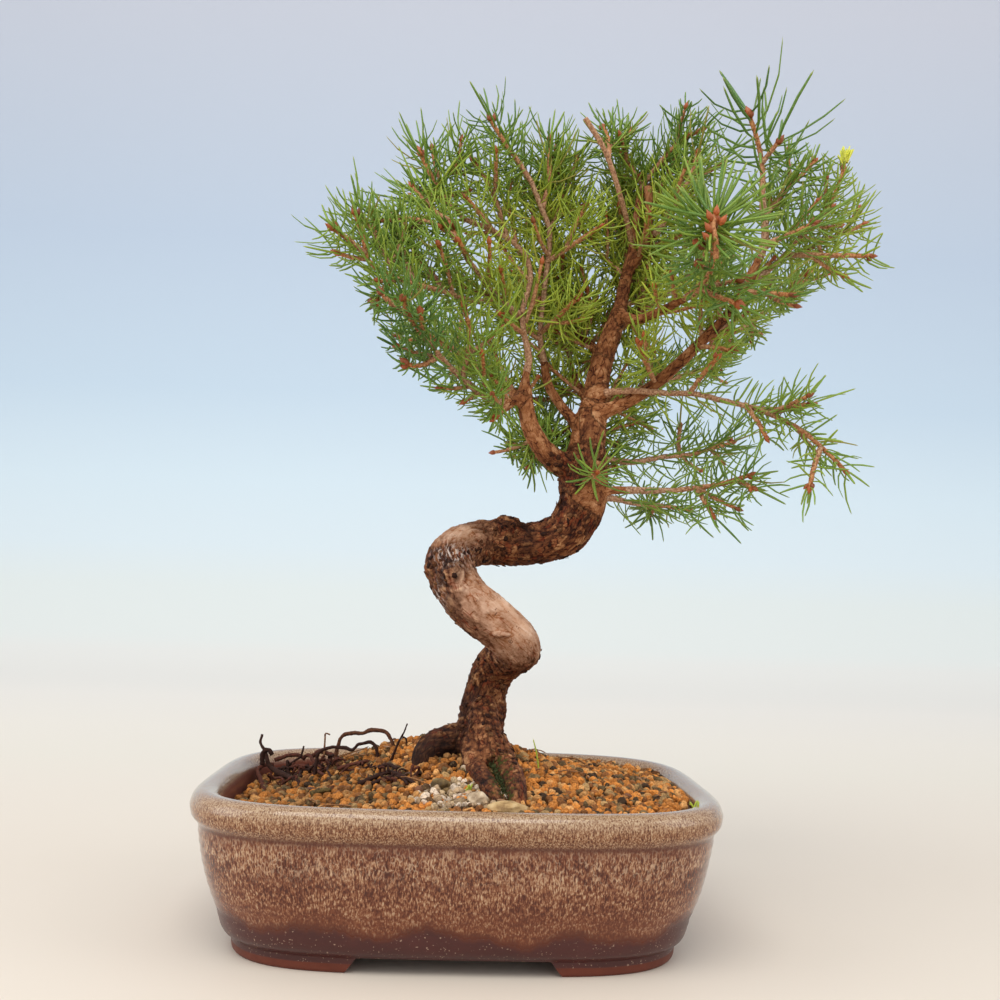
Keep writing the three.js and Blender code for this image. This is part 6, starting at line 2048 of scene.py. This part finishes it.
def make_dead_roots():
    look = root_look()
    random = np.random.default_rng(61)
    for name, stations in DEAD_ROOTS.items():
        heap = Heap()
        path = smooth_path(stations, 0.5)
        path[:, :3] += 0.3 * drift(path[:, :3], 2.4, 64)
        uneven = 1 + 0.16 * lumps(path[:, :3], 2.5, 62) + 0.08 * random.uniform(-1, 1, len(path))
        ring = random.uniform(0.92, 1.08, (len(path), 9))
        heap.add(*tube(path[:, :3], (path[:, 3] * 0.96 * uneven)[:, None] * ring, 9), rgb(*ROOT_TINTS[name]))
        finish_piece(heap.piece(name + "_bark", look), "root", name)
    heap = Heap()
    for tint, thick, thin, stations in FINE_ROOTS:
        add_strand(heap, stations, thick, thin, rgb(*ROOT_TINTS[tint]), random)
    for tangle in TANGLES:
        add_tangle(heap, *tangle, random)
    finish_piece(heap.piece("fine_roots", look), "root")


def litter_look():
    look = Look("litter", roughness=0.85)
    grain = look.noise(0.6, 3, 0.6)
    look.colour(look.mix(look.span(grain, 0.4, 0.65, 0.45, 0), look.paint(), rgb(44, 28, 20)))
    look.bump(grain, 0.2, 0.8)
    return look.material


def add_chips(heap, random):
    """Curled flakes of bark, clear of the trunk."""
    spots = [*CHIP_PLACES, *(tuple(random.uniform(-1, 1, 2) * (76, 54)) for _ in range(CHIP_COUNT))]
    spots = np.array([spot for spot in spots if math.hypot(spot[0] - TRUNK_FOOT_X, spot[1]) > 17])
    centres = np.column_stack([spots, soil_level(spots[:, 0], spots[:, 1]) + 1.9])
    body, faces = ball(2)
    for centre, turn in zip(centres, turned(random, len(centres))):
        size = random.uniform(0.9, 2.3)
        chip = body * (1, 0.55, 0.16) * size
        chip[:, 2] += 0.25 * chip[:, 0] ** 2 / size
        chip = chip @ turn.T * (1, 1, 0.5)
        heap.add(centre + chip, [faces], rgb(*random.choice(CHIP_COLOURS)))


def add_dead_needles(heap, random):
    """Brown needles on the soil, inside the rim and clear of the trunk."""
    for _ in range(DEAD_NEEDLE_COUNT):
        x, y = random.uniform(-1, 1, 2) * (74, 52)
        turn = random.random() * ANY_TURN
        end = np.array((x + 12 * math.cos(turn), y + 12 * math.sin(turn)))
        nearest = min(math.hypot(x - TRUNK_FOOT_X, y), math.hypot(end[0] - TRUNK_FOOT_X, end[1]))
        if abs(end[0]) > 76 or abs(end[1]) > 54 or nearest < 20:
            continue
        start = np.array((x, y, soil_level(x, y) + 1.9))
        stop = np.array((*end, soil_level(*end) + 2.1))
        add_strand(heap, wander(start, stop, 0.25, random, 5, 0.6), 0.35, 0.2, rgb(158, 106, 58), random, 4)


def make_weeds(random):
    """A single grass blade and two small green tufts."""
    heap = Heap()
    for foot, rise, count in WEEDS:
        turn = random.random(count) * 2 * math.pi
        headings = np.column_stack([0.35 * np.cos(turn), 0.35 * np.sin(turn), np.ones(count)])
        if count == 1:
            headings = np.array([(0, 0.05, 1.0)])
        roots = np.repeat([foot], count, axis=0) + random.normal(0, 0.5, (count, 3)) * (1, 1, 0)
        bends = random.normal(0, 0.15, (count, 3))
        widths, tones = np.full(count, 0.42), np.full(count, 0.25)
        chances = random.random(count) * 0.9
        add_needles(heap, roots, unit(headings), bends, np.full(count, rise), widths, tones, chances)
    finish_piece(heap.piece("weeds", needle_look()), "needles")


def make_moss(random):
    """Moss in the fork of the front roots."""
    place = random.random(MOSS_COUNT)
    groove = smooth_path(MOSS_LINE, 0.5)
    roots = groove[(place * (len(groove) - 1)).astype(int)]
    roots = roots + random.normal(0, 0.8, (MOSS_COUNT, 3)) * (1, 1, 0.7)
    headings = unit(random.normal(0, 0.6, (MOSS_COUNT, 3)) + (0, -0.3, 1))
    bends = random.normal(0, 0.2, (MOSS_COUNT, 3))
    lengths = random.uniform(0.5, 1.2, MOSS_COUNT)
    widths, tones = np.full(MOSS_COUNT, 0.2), np.full(MOSS_COUNT, 0.5)
    heap = Heap()
    add_needles(heap, roots, headings, bends, lengths, widths, tones, random.random(MOSS_COUNT))
    finish_piece(heap.piece("moss", moss_look()), "needles")


def make_litter():
    """Bark flakes, dead needles, a grass blade, small weeds and moss on the soil."""
    random = np.random.default_rng(71)
    look = litter_look()
    heap = Heap()
    add_chips(heap, random)
    add_dead_needles(heap, random)
    finish_piece(heap.piece("litter", look), "bark")
    make_weeds(random)
    make_moss(random)


def moss_look():
    look = Look("moss", roughness=0.9)
    chance = look.tint()["Blue"]
    cushions = look.mix(chance, rgb(34, 40, 12), rgb(54, 62, 20))
    look.colour(look.mix(look.noise(2, 2), cushions, rgb(70, 76, 30)))
    return look.material


def dress_screens():
    look = Look("drain_net", roughness=0.7)
    look.colour(look.mix(look.noise(3, 3), rgb(34, 36, 34), rgb(62, 62, 58)))
    look.bump(look.noise(0.5, 2), 0.1, 0.5)
    for name in ("drain_screen_left", "drain_screen_right"):
        for slot in bpy.data.objects[name].material_slots:
            slot.material = look.material


make_camera()
make_surroundings()
make_pot()
dress_screens()
make_soil_bed()
make_granules()
make_pumice()
make_stones()
make_dead_roots()
make_litter()
thick, thin = thick_limbs()
make_trunk(thick)
make_crown(thick, thin)
